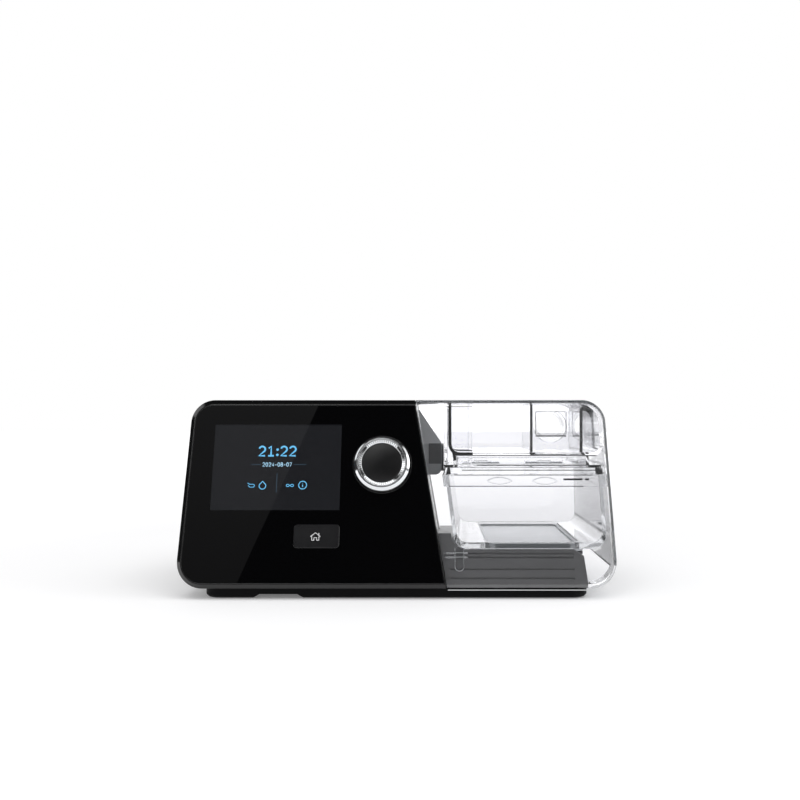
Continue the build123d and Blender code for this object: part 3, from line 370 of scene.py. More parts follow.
chromeLook = {
    "colour": "#eceef0",
    "roughness": (0.05, 0.1),
    "glossPatch": mm(4),
    "unevenness": mm(0.01),
    "unevenPatch": mm(5),
    "edge": mm(0.9),            # soft corners that plating needs
    "crowning": 0.7,            # how far the polish rounds the bevels towards the face
}


def chromePlate(name, look):
    # bright chrome over moulded plastic: mirror-like, with the moulding's slight unevenness;
    # its bevels are polished round, so each catches light from many sides
    material, tree, place = newMaterial(name)
    uneven = bumpOf(tree, grainOf(tree, place, look["unevenPatch"], 2.0), look["unevenness"], look["edge"])
    lean = faceNormal * look["crowning"]
    crowned = addNode(tree, "ShaderNodeVectorMath", {0: uneven, 1: lean}, operation="ADD")
    rounded = addNode(tree, "ShaderNodeVectorMath", {0: crowned.outputs[0]}, operation="NORMALIZE")
    shader = addNode(tree, "ShaderNodeBsdfPrincipled", {
        "Metallic": 1.0,
        "Base Color": linearColour(look["colour"]),
        "Roughness": unevenly(tree, grainOf(tree, place, look["glossPatch"]), *look["roughness"]),
        "Normal": rounded.outputs[0],
    })
    finishMaterial(tree, shader)
    return material


foamLook = {
    "cell": mm(1.2),            # cells of about 0.6 mm, drawn larger so that they show
    "colour": "#2b2c2e",
    "tint": "#4a4b4e",
    "roughness": 0.95,
    "depth": mm(0.5),
}


def openFoam(name, look):
    # open-cell foam: a dark mesh of small cells that swallows light
    material, tree, place = newMaterial(name)
    cells = addNode(tree, "ShaderNodeTexVoronoi", {
        "Scale": 1 / look["cell"], "Vector": place,
    }).outputs["Distance"]
    shader = addNode(tree, "ShaderNodeBsdfPrincipled", {
        "Roughness": look["roughness"],
        "Base Color": twoTones(tree, cells, look["colour"], look["tint"]),
        "Normal": bumpOf(tree, cells, look["depth"]),
    })
    finishMaterial(tree, shader)
    return material


feltLook = {
    "fibre": mm(0.8),           # the real fibres are finer than this
    "stretch": (1, 1, 3),
    "colour": "#cfd4d8",
    "tint": "#f2f4f5",
    "roughness": 0.9,
    "sheen": 0.3,
    "depth": mm(0.25),
}


def feltedFilter(name, look):
    # felted polyester: short white fibres laid at random
    material, tree, place = newMaterial(name)
    fibres = grainOf(tree, place, look["fibre"], 6.0, 0.75, look["stretch"])
    shader = addNode(tree, "ShaderNodeBsdfPrincipled", {
        "Roughness": look["roughness"],
        "Sheen Weight": look["sheen"],
        "Base Color": twoTones(tree, fibres, look["colour"], look["tint"]),
        "Normal": bumpOf(tree, fibres, look["depth"]),
    })
    finishMaterial(tree, shader)
    return material


siliconeLook = {
    "ior": 1.41,
    "colourPatch": mm(12),
    "glossPatch": mm(3),
    "swing": 0.15,              # share by which the roughness changes
    "grain": mm(0.9),
    "depth": mm(0.02),
}


def softSilicone(name, colour, tint, clarity, roughness=0.36):
    # silicone rubber, from nearly solid to clear by its clarity, with a soft sheen
    material, tree, place = newMaterial(name)
    look = siliconeLook
    patches = grainOf(tree, place, look["glossPatch"])
    swing = roughness * look["swing"]
    shader = addNode(tree, "ShaderNodeBsdfPrincipled", {
        "IOR": look["ior"],
        "Transmission Weight": clarity,
        "Base Color": twoTones(tree, grainOf(tree, place, look["colourPatch"], 2.0), colour, tint),
        "Roughness": unevenly(tree, patches, roughness - swing, roughness + swing),
        "Normal": bumpOf(tree, grainOf(tree, place, look["grain"], 3.0), look["depth"]),
    })
    finishMaterial(tree, shader)
    return material


finishes = {
    # mouldings: colour, second tone, roughness, grain and its depth
    # spark-eroded tools leave a fine grain: soft highlights on the casing, hardly any on the plinth
    "casingAbs": moulded("casingAbs_sparkEroded", "#0e0e10", "#121214", 0.42, mm(0.7), mm(0.03),
                         drift=0.02, edge=mm(0.4)),
    "plinthAbs": moulded("plinthAbs_sparkEroded", "#060607", "#09090a", 0.5, mm(0.7), mm(0.03),
                         gloss=0.1, edge=mm(0.4)),
    # a polished tool gives black that mirrors the room, with a glint along each corner
    "bezelAbs": moulded("bezelAbs_polished", "#060607", "#09090a", 0.13, mm(3), mm(0.004),
                        drift=0.03, edge=mm(0.8)),
    # satin tools give a soft even shine, nearly black on the key, grey on the port and the base
    "key": moulded("keyAbs_satin", "#151517", "#1a1a1c", 0.3, mm(0.6), mm(0.012)),
    "port": moulded("portAbs_satin", "#a0a1a3", "#a8a9ab", 0.36, mm(0.7), mm(0.02), edge=mm(0.5)),
    "base": moulded("baseAbs_satin", "#5f5f60", "#676768", 0.4, mm(0.7), mm(0.02), edge=mm(0.4)),
    # plain black with little shine on connectors; near-black painted shade in the grooves between the plated
    # ridges and beside the dial's crown
    "nylon": moulded("connectorNylon_moulded", "#141415", "#1a1a1b", 0.45, mm(0.8), mm(0.02)),
    "paintedShade": moulded("dialShade_painted", "#0c0c0d", "#101011", 0.4, mm(0.8), mm(0.01)),
    # solder mask: deep green, a little glossy and uneven
    "board": moulded("boardLaminate_solderMask", "#0f4a26", "#14562e", 0.3, mm(1.2), mm(0.02)),
    # polyamide: dark grey with a fine grain
    "blower": moulded("blowerPolyamide_moulded", "#2c2d2f", "#343537", 0.45, mm(0.8), mm(0.03)),
    # rubbers take hardly a highlight: black on the feet, dark grey on the heater's mat
    "rubber": moulded("footRubber_compressionMoulded", "#101010", "#181818", 0.75, mm(0.5), mm(0.05),
                      drift=0.06),
    "film": moulded("heaterMat_siliconeRubber", "#3a3a3b", "#444445", 0.6, mm(1.5), mm(0.04)),
    # metals: colour, roughness, stretch of the streaks and their depth
    # zinc: a cloudy grey shine on the sheet, brighter and finely lined on the screws
    "chassis": bareMetal("chassisSteel_galvanised", "#a9abad", 0.38, (1, 1, 1), mm(0.01)),
    "fastener": bareMetal("screwSteel_zincPlated", "#b8babd", 0.28, (1, 1, 0.3), mm(0.008)),
    # turned aluminium is bright with fine lines, nickel plate darker with its shine drawn out
    "turned": bareMetal("spindleAluminium_turned", "#c9cbcd", 0.25, (1, 1, 4), mm(0.01)),
    "motor": bareMetal("motorCan_nickelPlated", "#9c9ea0", 0.3, (1, 1, 0.4), mm(0.01)),
    # satin plates, with streaks from front to back and from side to side
    "heater": bareMetal("heaterAluminium_anodised", "#b4b6b8", 0.35, (1, 0.08, 1), mm(0.006)),
    "tubPlate": bareMetal("tubSteel_brushed", "#a3a5a7", 0.36, (0.08, 1, 1), mm(0.006)),
    # silicones: colour, second tone, clarity, roughness; milky, but clear as water under the lid
    "duct": softSilicone("ductSilicone_moulded", "#8b8e90", "#9a9da0", 0.15),
    # solid white, partly the seal's own colour and partly a painted highlight for the bright line along the
    # tub's foot, over the shaded gap under the tub
    "plateSeal": softSilicone("plateSealSilicone_whiteHighlight", "#dfe1e2", "#e8e9ea", 0.1),
    "portSeal": softSilicone("portSilicone_grey", "#4b4c4e", "#545557", 0.1),
    "seal": softSilicone("sealSilicone_clear", "#f8f9fa", "#fdfdfe", 1.0, 0.08),
    # finishes that only one piece or the clear mouldings have, each told at its function
    "face": printedFace("faceAcrylic_backPrinted", faceLook),
    "display": litSurface("displayGlass_backLit", panelLook),
    "chrome": chromePlate("dialChrome_plated", chromeLook),
    "dialCap": crownedCap("dialCapAbs_softTouch", capLook),
    "foam": openFoam("silencerFoam_openCell", foamLook),
    "felt": feltedFilter("filterFelt_polyester", feltLook),
    "cover": clearMoulding("coverCoPolyester_polished", coverLook),
    "tub": clearMoulding("tubCoPolyester_polished", tubLook),
    "inner": clearMoulding("trayCoPolyester_polished", trayLook),
    "spigot": thinMoulding("spigotPolypropylene_clear", thinLook),
}

nodeFinish = {
    "casingAbs": ["main_casing", "filter_cover"],
    "plinthAbs": ["base_plate"],
    "bezelAbs": ["front_bezel", "dial_surround"],
    "face": ["front_glass"],
    "display": ["display_module"],
    "chassis": ["display_chassis"],
    "fastener": ["base_screws", "hinge_pins", "motor_shaft"],
    "turned": ["encoder_sleeve", "dial_shaft"],
    "board": ["control_board", "main_board"],
    "nylon": ["encoder_body", "home_switch", "card_socket", "dc_jack", "memory_card"],
    "chrome": ["dial_ring"],
    "dialCap": ["dial_cap"],
    "key": ["home_button"],
    "blower": ["blower_lower", "blower_upper", "impeller", "silencer_case", "silencer_lid"],
    "motor": ["blower_motor"],
    "rubber": ["blower_mounts", "inlet_gasket", "rubber_feet"],
    "foam": ["silencer_foam"],
    "felt": ["air_filter"],
    "duct": ["blower_duct"],
    "portSeal": ["port_seal"],
    "seal": ["lid_seal"],
    "plateSeal": ["tub_plate_seal"],
    "port": ["air_port"],
    "base": ["humidifier_base"],
    "heater": ["heater_plate"],
    "tubPlate": ["tub_plate"],
    "film": ["heater_film", "heater_pad"],
    "cover": ["lid_shell"],
    "tub": ["tank_tub"],
    "inner": ["lid_tray", "inlet_chimney", "outlet_walls", "lid_deck"],
    "spigot": ["outlet_port"],
}
for finish, nodes in nodeFinish.items():
    for node in nodes:
        slots = frame["nodes"][node].data.materials
        slots.clear()
        slots.append(finishes[finish])
unfinished = set(frame["nodes"]) - {node for nodes in nodeFinish.values() for node in nodes}
print("nodes with a finish:", len(frame["nodes"]) - len(unfinished), "without:", sorted(unfinished))


# the added pieces have their place in their meshes, as the carried-over ones do
def addPiece(name, mesh, material, body):
    mesh.materials.clear()
    mesh.materials.append(material)
    piece = bpy.data.objects.new(name, mesh)
    scene.collection.objects.link(piece)
    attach(piece, body)


def joined(name, meshes):
    merged = bmesh.new()
    for mesh in meshes:
        merged.from_mesh(mesh)
    bmesh.ops.recalc_face_normals(merged, faces=merged.faces)
    result = bpy.data.meshes.new(name)
    merged.to_mesh(result)
    merged.free()
    return result


def strokeMesh(points, width, thickness, closed=False):
    # a line of even width along the points, flattened to the mark's thickness
    curve = bpy.data.curves.new("stroke", "CURVE")
    curve.dimensions = "3D"
    curve.bevel_depth = width / 2
    curve.bevel_resolution = 1
    curve.use_fill_caps = True
    spline = curve.splines.new("POLY")
    spline.points.add(len(points) - 1)
    for point, (x, t) in zip(spline.points, points):
        point.co = (x, t, 0, 1)
    spline.use_cyclic_u = closed
    holder = bpy.data.objects.new("stroke", curve)
    mesh = bpy.data.meshes.new_from_object(holder)
    bpy.data.objects.remove(holder)
    mesh.transform(Matrix.Translation((0, 0, thickness / 2)) @ Matrix.Diagonal((1, 1, thickness / width, 1)))
    return mesh


def arcPoints(centre, radius, start, end, steps, squash=1.0):
    angles = [math.radians(start + (end - start) * i / steps) for i in range(steps + 1)]
    return [(centre[0] + radius * math.cos(a), centre[1] + radius * squash * math.sin(a)) for a in angles]


def onFace(mesh, x, t, out):
    # counted from the display's middle
    mesh.transform(faceFrame @ Matrix.Translation((x, t, out)))
    return mesh


def leaning(mesh, out=0.0):
    # counted from the dial, on a plane that lies out from the face
    mesh.transform(dialFrame @ Matrix.Translation((0, 0, out)))
    return mesh


displayLook = {
    "clockTones": ("#63c6fa", "#7fd0f5"),
    "dateTones": ("#a9def7", "#bfe6f8"),
    "ruleTones": ("#364854", "#31424d"),
    "thickness": mm(0.05),
    "level": mm(-2.3),          # the display's own face, under the face glass
    "clock": {"words": "21:22", "middle": (mm(-0.1), mm(10.3)), "size": (mm(4.7), mm(6.9)),
              "stroke": mm(1.05), "advance": mm(5.4), "narrow": mm(2.5)},
    "date": {"words": "2024-08-07", "middle": (mm(0.1), mm(1.9)), "size": (mm(1.6), mm(2.7)),
             "stroke": mm(0.4), "advance": mm(1.87), "narrow": mm(1.65)},
    "ruleStroke": mm(0.45),
    "ruleRow": mm(1.9),         # beside the date
    "ruleSpans": ((mm(-15.7), mm(-9.9)), (mm(10.1), mm(17.9))),
    "divider": (mm(0.3), mm(-15.3), mm(-3.6)),      # between the icons: x, foot and head
}


def litTones(name, tones):
    return litSurface(name, {**markLook, "colour": tones[0], "tint": tones[1]})


glyphs = litTones("glyphs_lit", displayLook["clockTones"])
paleGlyphs = litTones("glyphsPale_lit", displayLook["dateTones"])
rules = litTones("rules_dim", displayLook["ruleTones"])


def figureLines(sign):
    # centre lines of one figure in a box one wide and one high, each with whether it closes
    flat = 0.6
    if sign == "0":
        return [(arcPoints((0.5, 0.5), 0.5, 0, 345, 23), True)]
    if sign == "1":
        return [([(0.1, 0.8), (0.52, 1), (0.52, 0)], False), ([(0.05, 0), (1, 0)], False)]
    if sign == "2":
        return [(arcPoints((0.5, 0.7), 0.5, 165, -40, 14, flat) + [(0, 0), (1, 0)], False)]
    if sign == "4":
        return [([(0.74, 0), (0.74, 1), (0, 0.3), (1, 0.3)], False)]
    if sign == "7":
        return [([(0, 1), (1, 1), (0.32, 0)], False)]
    if sign == "8":
        return [(arcPoints((0.5, 0.76), 0.42, 0, 345, 23, 0.57), True),
                (arcPoints((0.5, 0.27), 0.5, 0, 345, 23, 0.54), True)]
    if sign == ":":
        return [(arcPoints((0.5, middle), 0.08, 0, 330, 11, flat), True) for middle in (0.1, 0.66)]
    return [([(0.1, 0.42), (0.9, 0.42)], False)]     # the dash


def figureRun(run, thickness):
    # all figures of one line, centred on its middle
    steps = [run["narrow"] if sign in ":-" else run["advance"] for sign in run["words"]]
    width, height = (side - run["stroke"] for side in run["size"])
    meshes = []
    for i, sign in enumerate(run["words"]):
        left = sum(steps[:i]) + steps[i] / 2 - sum(steps) / 2 - width / 2
        for points, closed in figureLines(sign):
            spots = [(left + x * width, (t - 0.5) * height) for x, t in points]
            meshes.append(strokeMesh(spots, run["stroke"], thickness, closed))
    return meshes


for name, line, tones in (("display_clock", "clock", glyphs), ("display_date", "date", paleGlyphs)):
    run = displayLook[line]
    figures = joined(name, figureRun(run, displayLook["thickness"]))
    addPiece(name, onFace(figures, *run["middle"], displayLook["level"]), tones, "console")

iconLook = {
    # one row of small signs, each counted from its own middle
    "row": mm(-10.9),
    "stroke": mm(0.5),
    "fineStroke": mm(0.4),
    "drop": {"x": mm(-8.2), "size": (mm(4.0), mm(4.9))},
    "info": {"x": mm(16.1), "radius": mm(2.4), "stem": (mm(-1.2), mm(0.3)), "dot": (mm(1.0), mm(1.25))},
    "link": {"x": mm(8.4), "t": mm(-0.2), "spread": mm(1.3), "radius": mm(0.9), "squash": 0.8,
             "bar": mm(0.5)},
    "hose": {"x": mm(-15.2), "start": [(mm(-2.1), mm(1.3)), (mm(-0.9), mm(0.5)), (mm(0.9), mm(0.5))],
             "bend": (mm(1.2), mm(-0.35)), "radius": mm(0.9),
             "end": [(mm(-0.6), mm(-1.25)), (mm(-1.7), mm(-0.2))]},
}


def dropOutline(centre, width, height):
    # round below, drawn up to a point
    radius = width / 2
    low = centre[1] - height / 2 + radius
    shoulder, shoulderRow = radius * 0.45, low + height * 0.36
    rounded = arcPoints((centre[0], low), radius, -210, 30, 20)
    return rounded + [(centre[0] + shoulder, shoulderRow), (centre[0], centre[1] + height / 2),
                      (centre[0] - shoulder, shoulderRow)]


def iconStrokes(look, thickness):
    # water drop, information sign, link and hose: points, stroke, whether it closes
    drop, info, link, hose = look["drop"], look["info"], look["link"], look["hose"]
    stroke, fine = look["stroke"], look["fineStroke"]
    eyes = [arcPoints((link["x"] + side, link["t"]), link["radius"], 0, 340, 17, link["squash"])
            for side in (-link["spread"], link["spread"])]
    bend = arcPoints(hose["bend"], hose["radius"], 70, -90, 8)
    lines = [
        (dropOutline((drop["x"], 0), *drop["size"]), stroke, True),
        (arcPoints((info["x"], 0), info["radius"], 0, 342, 19), stroke, True),
        ([(info["x"], t) for t in info["stem"]], stroke, False),
        ([(info["x"], t) for t in info["dot"]], stroke, False),
        *[(eye, fine, True) for eye in eyes],
        ([(link["x"] - link["bar"], link["t"]), (link["x"] + link["bar"], link["t"])], fine, False),
        ([(hose["x"] + x, t) for x, t in hose["start"] + bend + hose["end"]], fine, False),
    ]
    return [strokeMesh(points, width, thickness, closed) for points, width, closed in lines]


icons = joined("display_icons", iconStrokes(iconLook, displayLook["thickness"]))
addPiece("display_icons", onFace(icons, 0, iconLook["row"], displayLook["level"]), glyphs,
         "console")

dividerX, dividerFoot, dividerHead = displayLook["divider"]
ruleLines = [[(start, displayLook["ruleRow"]), (end, displayLook["ruleRow"])]
             for start, end in displayLook["ruleSpans"]]
ruleLines.append([(dividerX, dividerFoot), (dividerX, dividerHead)])
ruleMarks = joined("display_rules", [strokeMesh(line, displayLook["ruleStroke"], displayLook["thickness"])
                                     for line in ruleLines])
addPiece("display_rules", onFace(ruleMarks, 0, 0, displayLook["level"]), rules, "console")

keyLook = {
    "middle": (mm(25.2), mm(-42.5)),
    "level": mm(0.35),
    "thickness": mm(0.04),
    "stroke": mm(0.52),
    "printTones": ("#e9e9ea", "#dededf"),
    "size": mm(5.9),
    # shares of the size
    "wall": 0.36,
    "eave": 0.02,
    "roof": 0.4,
    "foot": -0.36,
    "door": 0.14,
    "lintel": -0.1,
    "chimney": (0.12, 0.38),
    "chimneyX": 0.342,
}


def homeOutline(look):
    # roof, walls, doorway and chimney of the home sign
    door, foot, wall = look["door"], look["foot"], look["wall"]
    walls = [(-door, foot), (-wall, foot), (-wall, look["eave"])]
    lines = [
        [(-0.5, 0), (0, look["roof"]), (0.5, 0)],
        walls,
        [(-x, t) for x, t in walls],
        [(-door, foot), (-door, look["lintel"]), (door, look["lintel"]), (door, foot)],
        [(look["chimneyX"], t) for t in look["chimney"]],
    ]
    return [[(x * look["size"], t * look["size"]) for x, t in line] for line in lines]


# pad-printed ink, pale and even with a slight shine
keyPrint = moulded("keyPrint_padPrinted", *keyLook["printTones"], 0.5, mm(0.6), mm(0.004))
homeSign = joined("home_sign", [strokeMesh(line, keyLook["stroke"], keyLook["thickness"])
                                for line in homeOutline(keyLook)])
addPiece("home_sign", onFace(homeSign, *keyLook["middle"], keyLook["level"]), keyPrint,
         "home_key")
print("display and key marks made")

knurlLook = {
    # painted shade: dark bars in the grooves between the ridges on the dial's inner bevel
    "count": 64,                # finer on the real dial, drawn wide enough to show
    "radius": mm(13.15),
    "level": mm(6.43),
    "slope": 35.0,              # degrees, the bevel's fall towards the cap
    "length": mm(1.4),
    "width": mm(0.45),
    "height": mm(0.12),
    # painted dark reflections on both sides of the crown, as corners of radius and level
    "innerLine": ((mm(14.02), mm(6.95)), (mm(14.28), mm(6.95)), (mm(14.28), mm(7.08)), (mm(14.02), mm(7.08))),
    "outerLine": ((mm(14.92), mm(7.3)), (mm(15.28), mm(6.9)), (mm(15.34), mm(6.98)), (mm(14.98), mm(7.42))),
    "steps": 96,
}


def knurlTree(look, material):
    tree = bpy.data.node_groups.new("knurlGrooveShade", "GeometryNodeTree")
    tree.is_modifier = True
    for name, kind in (("Geometry", "NodeSocketGeometry"), ("Count", "NodeSocketInt"),
                       ("Radius", "NodeSocketFloat"), ("Slope", "NodeSocketFloat")):
        tree.interface.new_socket(name, in_out="INPUT", socket_type=kind)
    tree.interface.new_socket("Geometry", in_out="OUTPUT", socket_type="NodeSocketGeometry")
    given = addNode(tree, "NodeGroupInput").outputs
    circle = addNode(tree, "GeometryNodeMeshCircle", {"Vertices": given["Count"], "Radius": given["Radius"]})
    paintedShade = addNode(tree, "GeometryNodeMeshCube", {"Size": (look["length"], look["width"], look["height"])})
    spot = addNode(tree, "GeometryNodeInputPosition").outputs[0]
    axes = addNode(tree, "ShaderNodeSeparateXYZ", {"Vector": spot}).outputs
    turn = addNode(tree, "ShaderNodeMath", {0: axes["Y"], 1: axes["X"]}, operation="ARCTAN2")
    tilt = addNode(tree, "ShaderNodeMath", {0: given["Slope"], 1: -1.0}, operation="MULTIPLY")
    angles = addNode(tree, "ShaderNodeCombineXYZ", {"Y": tilt.outputs[0], "Z": turn.outputs[0]})
    shadeBars = addNode(tree, "GeometryNodeInstanceOnPoints", {
        "Points": circle.outputs[0], "Instance": paintedShade.outputs["Mesh"], "Rotation": angles.outputs[0],
    })
    solid = addNode(tree, "GeometryNodeRealizeInstances", {"Geometry": shadeBars.outputs[0]})
    dressed = addNode(tree, "GeometryNodeSetMaterial", {"Geometry": solid.outputs[0], "Material": material})
    addNode(tree, "NodeGroupOutput", {"Geometry": dressed.outputs[0]})
    return tree


def grown(name, tree, values):
    # the tree's result on an empty object, as one plain mesh
    seed = bpy.data.objects.new(name, bpy.data.meshes.new(name))
    scene.collection.objects.link(seed)
    modifier = seed.modifiers.new("grow", "NODES")
    modifier.node_group = tree
    for item in tree.interface.items_tree:
        if item.in_out == "INPUT" and item.name in values:
            modifier[item.identifier] = values[item.name]
    evaluated = seed.evaluated_get(bpy.context.evaluated_depsgraph_get())
    mesh = bpy.data.meshes.new_from_object(evaluated)
    bpy.data.objects.remove(seed)
    return mesh


knurl = grown("dial_knurl_shade", knurlTree(knurlLook, finishes["paintedShade"]), {
    "Count": knurlLook["count"], "Radius": knurlLook["radius"], "Slope": math.radians(knurlLook["slope"]),
})
addPiece("dial_knurl_shade", leaning(knurl, knurlLook["level"]), finishes["paintedShade"], "dial")


def ringMesh(profile, steps):
    # the closed outline turned once round the dial's axis
    ring = bmesh.new()
    rows = []
    for i in range(steps):
        turn = 2 * math.pi * i / steps
        rows.append([ring.verts.new((r * math.cos(turn), r * math.sin(turn), out)) for r, out in profile])
    for i, row in enumerate(rows):
        following = rows[(i + 1) % steps]
        for j, corner in enumerate(row):
            k = (j + 1) % len(row)
            ring.faces.new((corner, row[k], following[k], following[j]))
    mesh = bpy.data.meshes.new("ring")
    ring.to_mesh(mesh)
    ring.free()
    return mesh


# rings of painted dark reflection beside the dial's crown
crownLines = joined("dial_crown_shade", [ringMesh(knurlLook[line], knurlLook["steps"])
                                   for line in ("innerLine", "outerLine")])
addPiece("dial_crown_shade", leaning(crownLines), finishes["paintedShade"], "dial")


def barMesh(low, high, edge=0.0):
    # a bar between two corners; edge is the round along its sides
    middle = [(a + b) / 2 for a, b in zip(low, high)]
    sides = [b - a for a, b in zip(low, high)]
    bar = bmesh.new()
    bmesh.ops.create_cube(bar, size=1.0, matrix=Matrix.Translation(middle) @ Matrix.Diagonal((*sides, 1)))
    if edge:
        bmesh.ops.bevel(bar, geom=bar.edges[:], offset=edge, segments=3, profile=0.5, affect="EDGES")
    mesh = bpy.data.meshes.new("bar")
    bar.to_mesh(mesh)
    bar.free()
    return mesh


rimLook = {
    # printed dashes on the tub's rim band, whose front lies under the face
    "dashes": ((mm(110.0), mm(11.5)), (mm(123.1), mm(2.4))),    # x from the dial, length
    "rows": (mm(-9.15), mm(-8.05)),
    "levels": (mm(-3.02), mm(-2.95)),
}
rimLow, rimHigh = zip(rimLook["rows"], rimLook["levels"])
dashes = [barMesh((x, *rimLow), (x + length, *rimHigh)) for x, length in rimLook["dashes"]]
addPiece("rim_marks", leaning(joined("rim_marks", dashes)), finishes["nylon"], "tank")

portShadeLook = {
    # painted shade: a thin dark pad on the boot's front, where its upright face is in shade below the lit,
    # leaning cowl
    "width": mm(8.2),
    "heights": (mm(77.5), mm(90.5)),
    "proud": mm(0.2),
    "edge": mm(0.12),
}
boot = [Vector(corner) for corner in frame["nodes"]["air_port"].bound_box]
bootRight = max(corner.x for corner in boot)
bootFront = min(corner.y for corner in boot)
shadeLow, shadeHigh = portShadeLook["heights"]
portShadePad = barMesh((bootRight - portShadeLook["width"], bootFront - portShadeLook["proud"], shadeLow),
                  (bootRight - portShadeLook["proud"], bootFront + portShadeLook["proud"], shadeHigh), portShadeLook["edge"])
addPiece("port_shade_pad", portShadePad, finishes["portSeal"], "console")

# painted highlights and painted dark outlines for the polished edges of the clear tank; x from the dial, rows
# up the face, levels out
edgeLook = {
    "paleTones": ("#eceeef", "#f6f7f8"),
    "darkTones": ("#2f3032", "#7b7d7f"),
    "thickness": mm(0.06),
    "stroke": mm(0.32),
    "darkStroke": mm(0.55),
    "lugs": (mm(71.2), mm(98.7)),       # lens-shaped lugs on the tub's rim
    "lugRow": mm(-9.7),
    "lugSize": (mm(15.1), mm(4.2)),
    "lugLevel": mm(-2.5),
    "peg": (mm(43.9), mm(49.1)),        # guide peg inside the cover, its two sides
    "pegRows": (mm(-50.4), mm(-63.8)),
    "ribRows": (mm(-55.6), mm(-53.1)),
    "ribSpan": (mm(38.6), mm(51.5)),
    "innerLevel": mm(-4.06),
    # painted highlights on the cover's foot and the tub's lower front edge: x from, x to, row, level, stroke
    "footLine": (mm(39.6), mm(122.0), mm(-74.9), mm(-2.9), mm(0.48)),
    "tubLine": (mm(52.0), mm(114.5), mm(-50.4), mm(-4.66), mm(0.512)),
    # painted dark outlines on the lower edges of the tray and the deck under it, and on edges of the tub's
    # rim band, the same way
    "deckLines": ((mm(46.5), mm(131.0), mm(6.3), mm(-2.95)), (mm(57.5), mm(130.0), mm(0.5), mm(-4.6)),
                  (mm(48.5), mm(130.0), mm(-2.6), mm(-4.6))),
    "rimLines": ((mm(43.7), mm(128.0), mm(-5.95), mm(-2.98)), (mm(40.5), mm(122.0), mm(-12.9), mm(-2.98))),
    # painted dark outline of the frame round the spigot's opening in the lid: lower left and upper right
    # corner, as x and z
    "window": ((mm(95.1), mm(94.9)), (mm(117.0), mm(110.8))),
    "windowDepth": mm(50.25),
    "windowStroke": mm(0.7),
    # a line of painted shade, this far below the frame
    "lowerShade": mm(1.4),                    # below the frame
    "lowerShadeStroke": mm(1.2),
}


def lensOutline(centre, row, size):
    # two shallow arcs that meet in points
    half, bulge = size[0] / 2, size[1] / 2
    radius = (half * half + bulge * bulge) / (2 * bulge)
    reach = math.degrees(math.asin(half / radius))
    upper = arcPoints((centre, row + bulge - radius), radius, 90 + reach, 90 - reach, 12)
    lower = arcPoints((centre, row - bulge + radius), radius, 270 + reach, 270 - reach, 12)
    return upper + lower[1:-1]


def pegOutline(look):
    # down one side, round below and up the other
    left, right = look["peg"]
    top, foot = look["pegRows"]
    radius = (right - left) / 2
    return [(right, top), *arcPoints((left + radius, foot + radius), radius, 0, -180, 10), (left, top)]


def levelLine(start, end, row, level, stroke):
    return leaning(strokeMesh([(start, row), (end, row)], stroke, edgeLook["thickness"]), level)


def windowShadeOutline(look):
    # painted dark outline, upright at its own depth in the lid, with a line of painted shade under it
    (left, low), (right, high) = look["window"]
    corners = [(left, low), (right, low), (right, high), (left, high)]
    lowerShadeRow = low - look["lowerShade"]
    outline = strokeMesh(corners, look["windowStroke"], look["thickness"], True)
    lowerShade = strokeMesh([(left, lowerShadeRow), (right, lowerShadeRow)], look["lowerShadeStroke"], look["thickness"])
    window = joined("window_edge_shade", [outline, lowerShade])
    upright = Matrix.Rotation(math.radians(90), 4, "X")
    window.transform(Matrix.Translation((0, look["windowDepth"], 0)) @ upright)
    return window


# painted highlights where polished edges gather light, painted dark outlines where they turn it away
paintedEdgeHighlight = moulded("edgeHighlight_painted", *edgeLook["paleTones"], 0.35, mm(2), mm(0.002))
paintedEdgeShade = moulded("edgeShade_painted", *edgeLook["darkTones"], 0.4, mm(2), mm(0.002))

lugLines = [lensOutline(x, edgeLook["lugRow"], edgeLook["lugSize"]) for x in edgeLook["lugs"]]
lugHighlights = joined("lug_edge_highlights", [strokeMesh(line, edgeLook["stroke"], edgeLook["thickness"], True)
                                for line in lugLines])
addPiece("lug_edge_highlights", leaning(lugHighlights, edgeLook["lugLevel"]), paintedEdgeHighlight, "tank")

ribLines = [[(x, row) for x in edgeLook["ribSpan"]] for row in edgeLook["ribRows"]]
innerHighlights = [leaning(strokeMesh(line, edgeLook["stroke"], edgeLook["thickness"]), edgeLook["innerLevel"])
              for line in [pegOutline(edgeLook), *ribLines]]
coverHighlights = joined("cover_edge_highlights", [*innerHighlights, levelLine(*edgeLook["footLine"])])
addPiece("cover_edge_highlights", coverHighlights, paintedEdgeHighlight, "lid")

addPiece("window_edge_shade", windowShadeOutline(edgeLook), paintedEdgeShade, "lid")
for name, lines, body in (("deck_edge_shade", "deckLines", "lid"), ("rim_edge_shade", "rimLines", "tank")):
    edges = joined(name, [levelLine(*line, edgeLook["darkStroke"]) for line in edgeLook[lines]])
    addPiece(name, edges, paintedEdgeShade, body)
addPiece("tub_edge_highlight", levelLine(*edgeLook["tubLine"]), paintedEdgeHighlight, "tank")
print("knurl, rim marks and edges made")


studio = {
    "floorSize": 12.0,
    "floorTones": ("#f0f0f1", "#f3f3f4"),
    "floorPatch": 0.4,
    "floorRoughness": 0.8,
    "lift": (0.16, 0.6),        # added for sight only, near and far, so that the floor runs out to white
    "liftReach": (0.35, 1.3),
    "clearLift": 0.15,          # on top, for rays that have crossed clear walls
    "lampSky": 0.62,            # even light on the surfaces
    "darkSky": 0.03,            # what polished black and chrome see in front of the machine
    "brightSky": 1.0,
    "wallBehind": (0.62, 0.85),
    "sideEdge": (0.5, 0.62),    # bright strips on both sides, from here outwards
    "leftRise": (0.3, 0.38),
    "rightRise": (0.0, 0.1),
    "stripTop": (0.8, 0.7),
    "clearSky": (0.38, 2.2),    # what rays in clear walls meet off the axis and behind
    "clearWindow": (0.2, 0.7),
}
white = (1, 1, 1, 1)


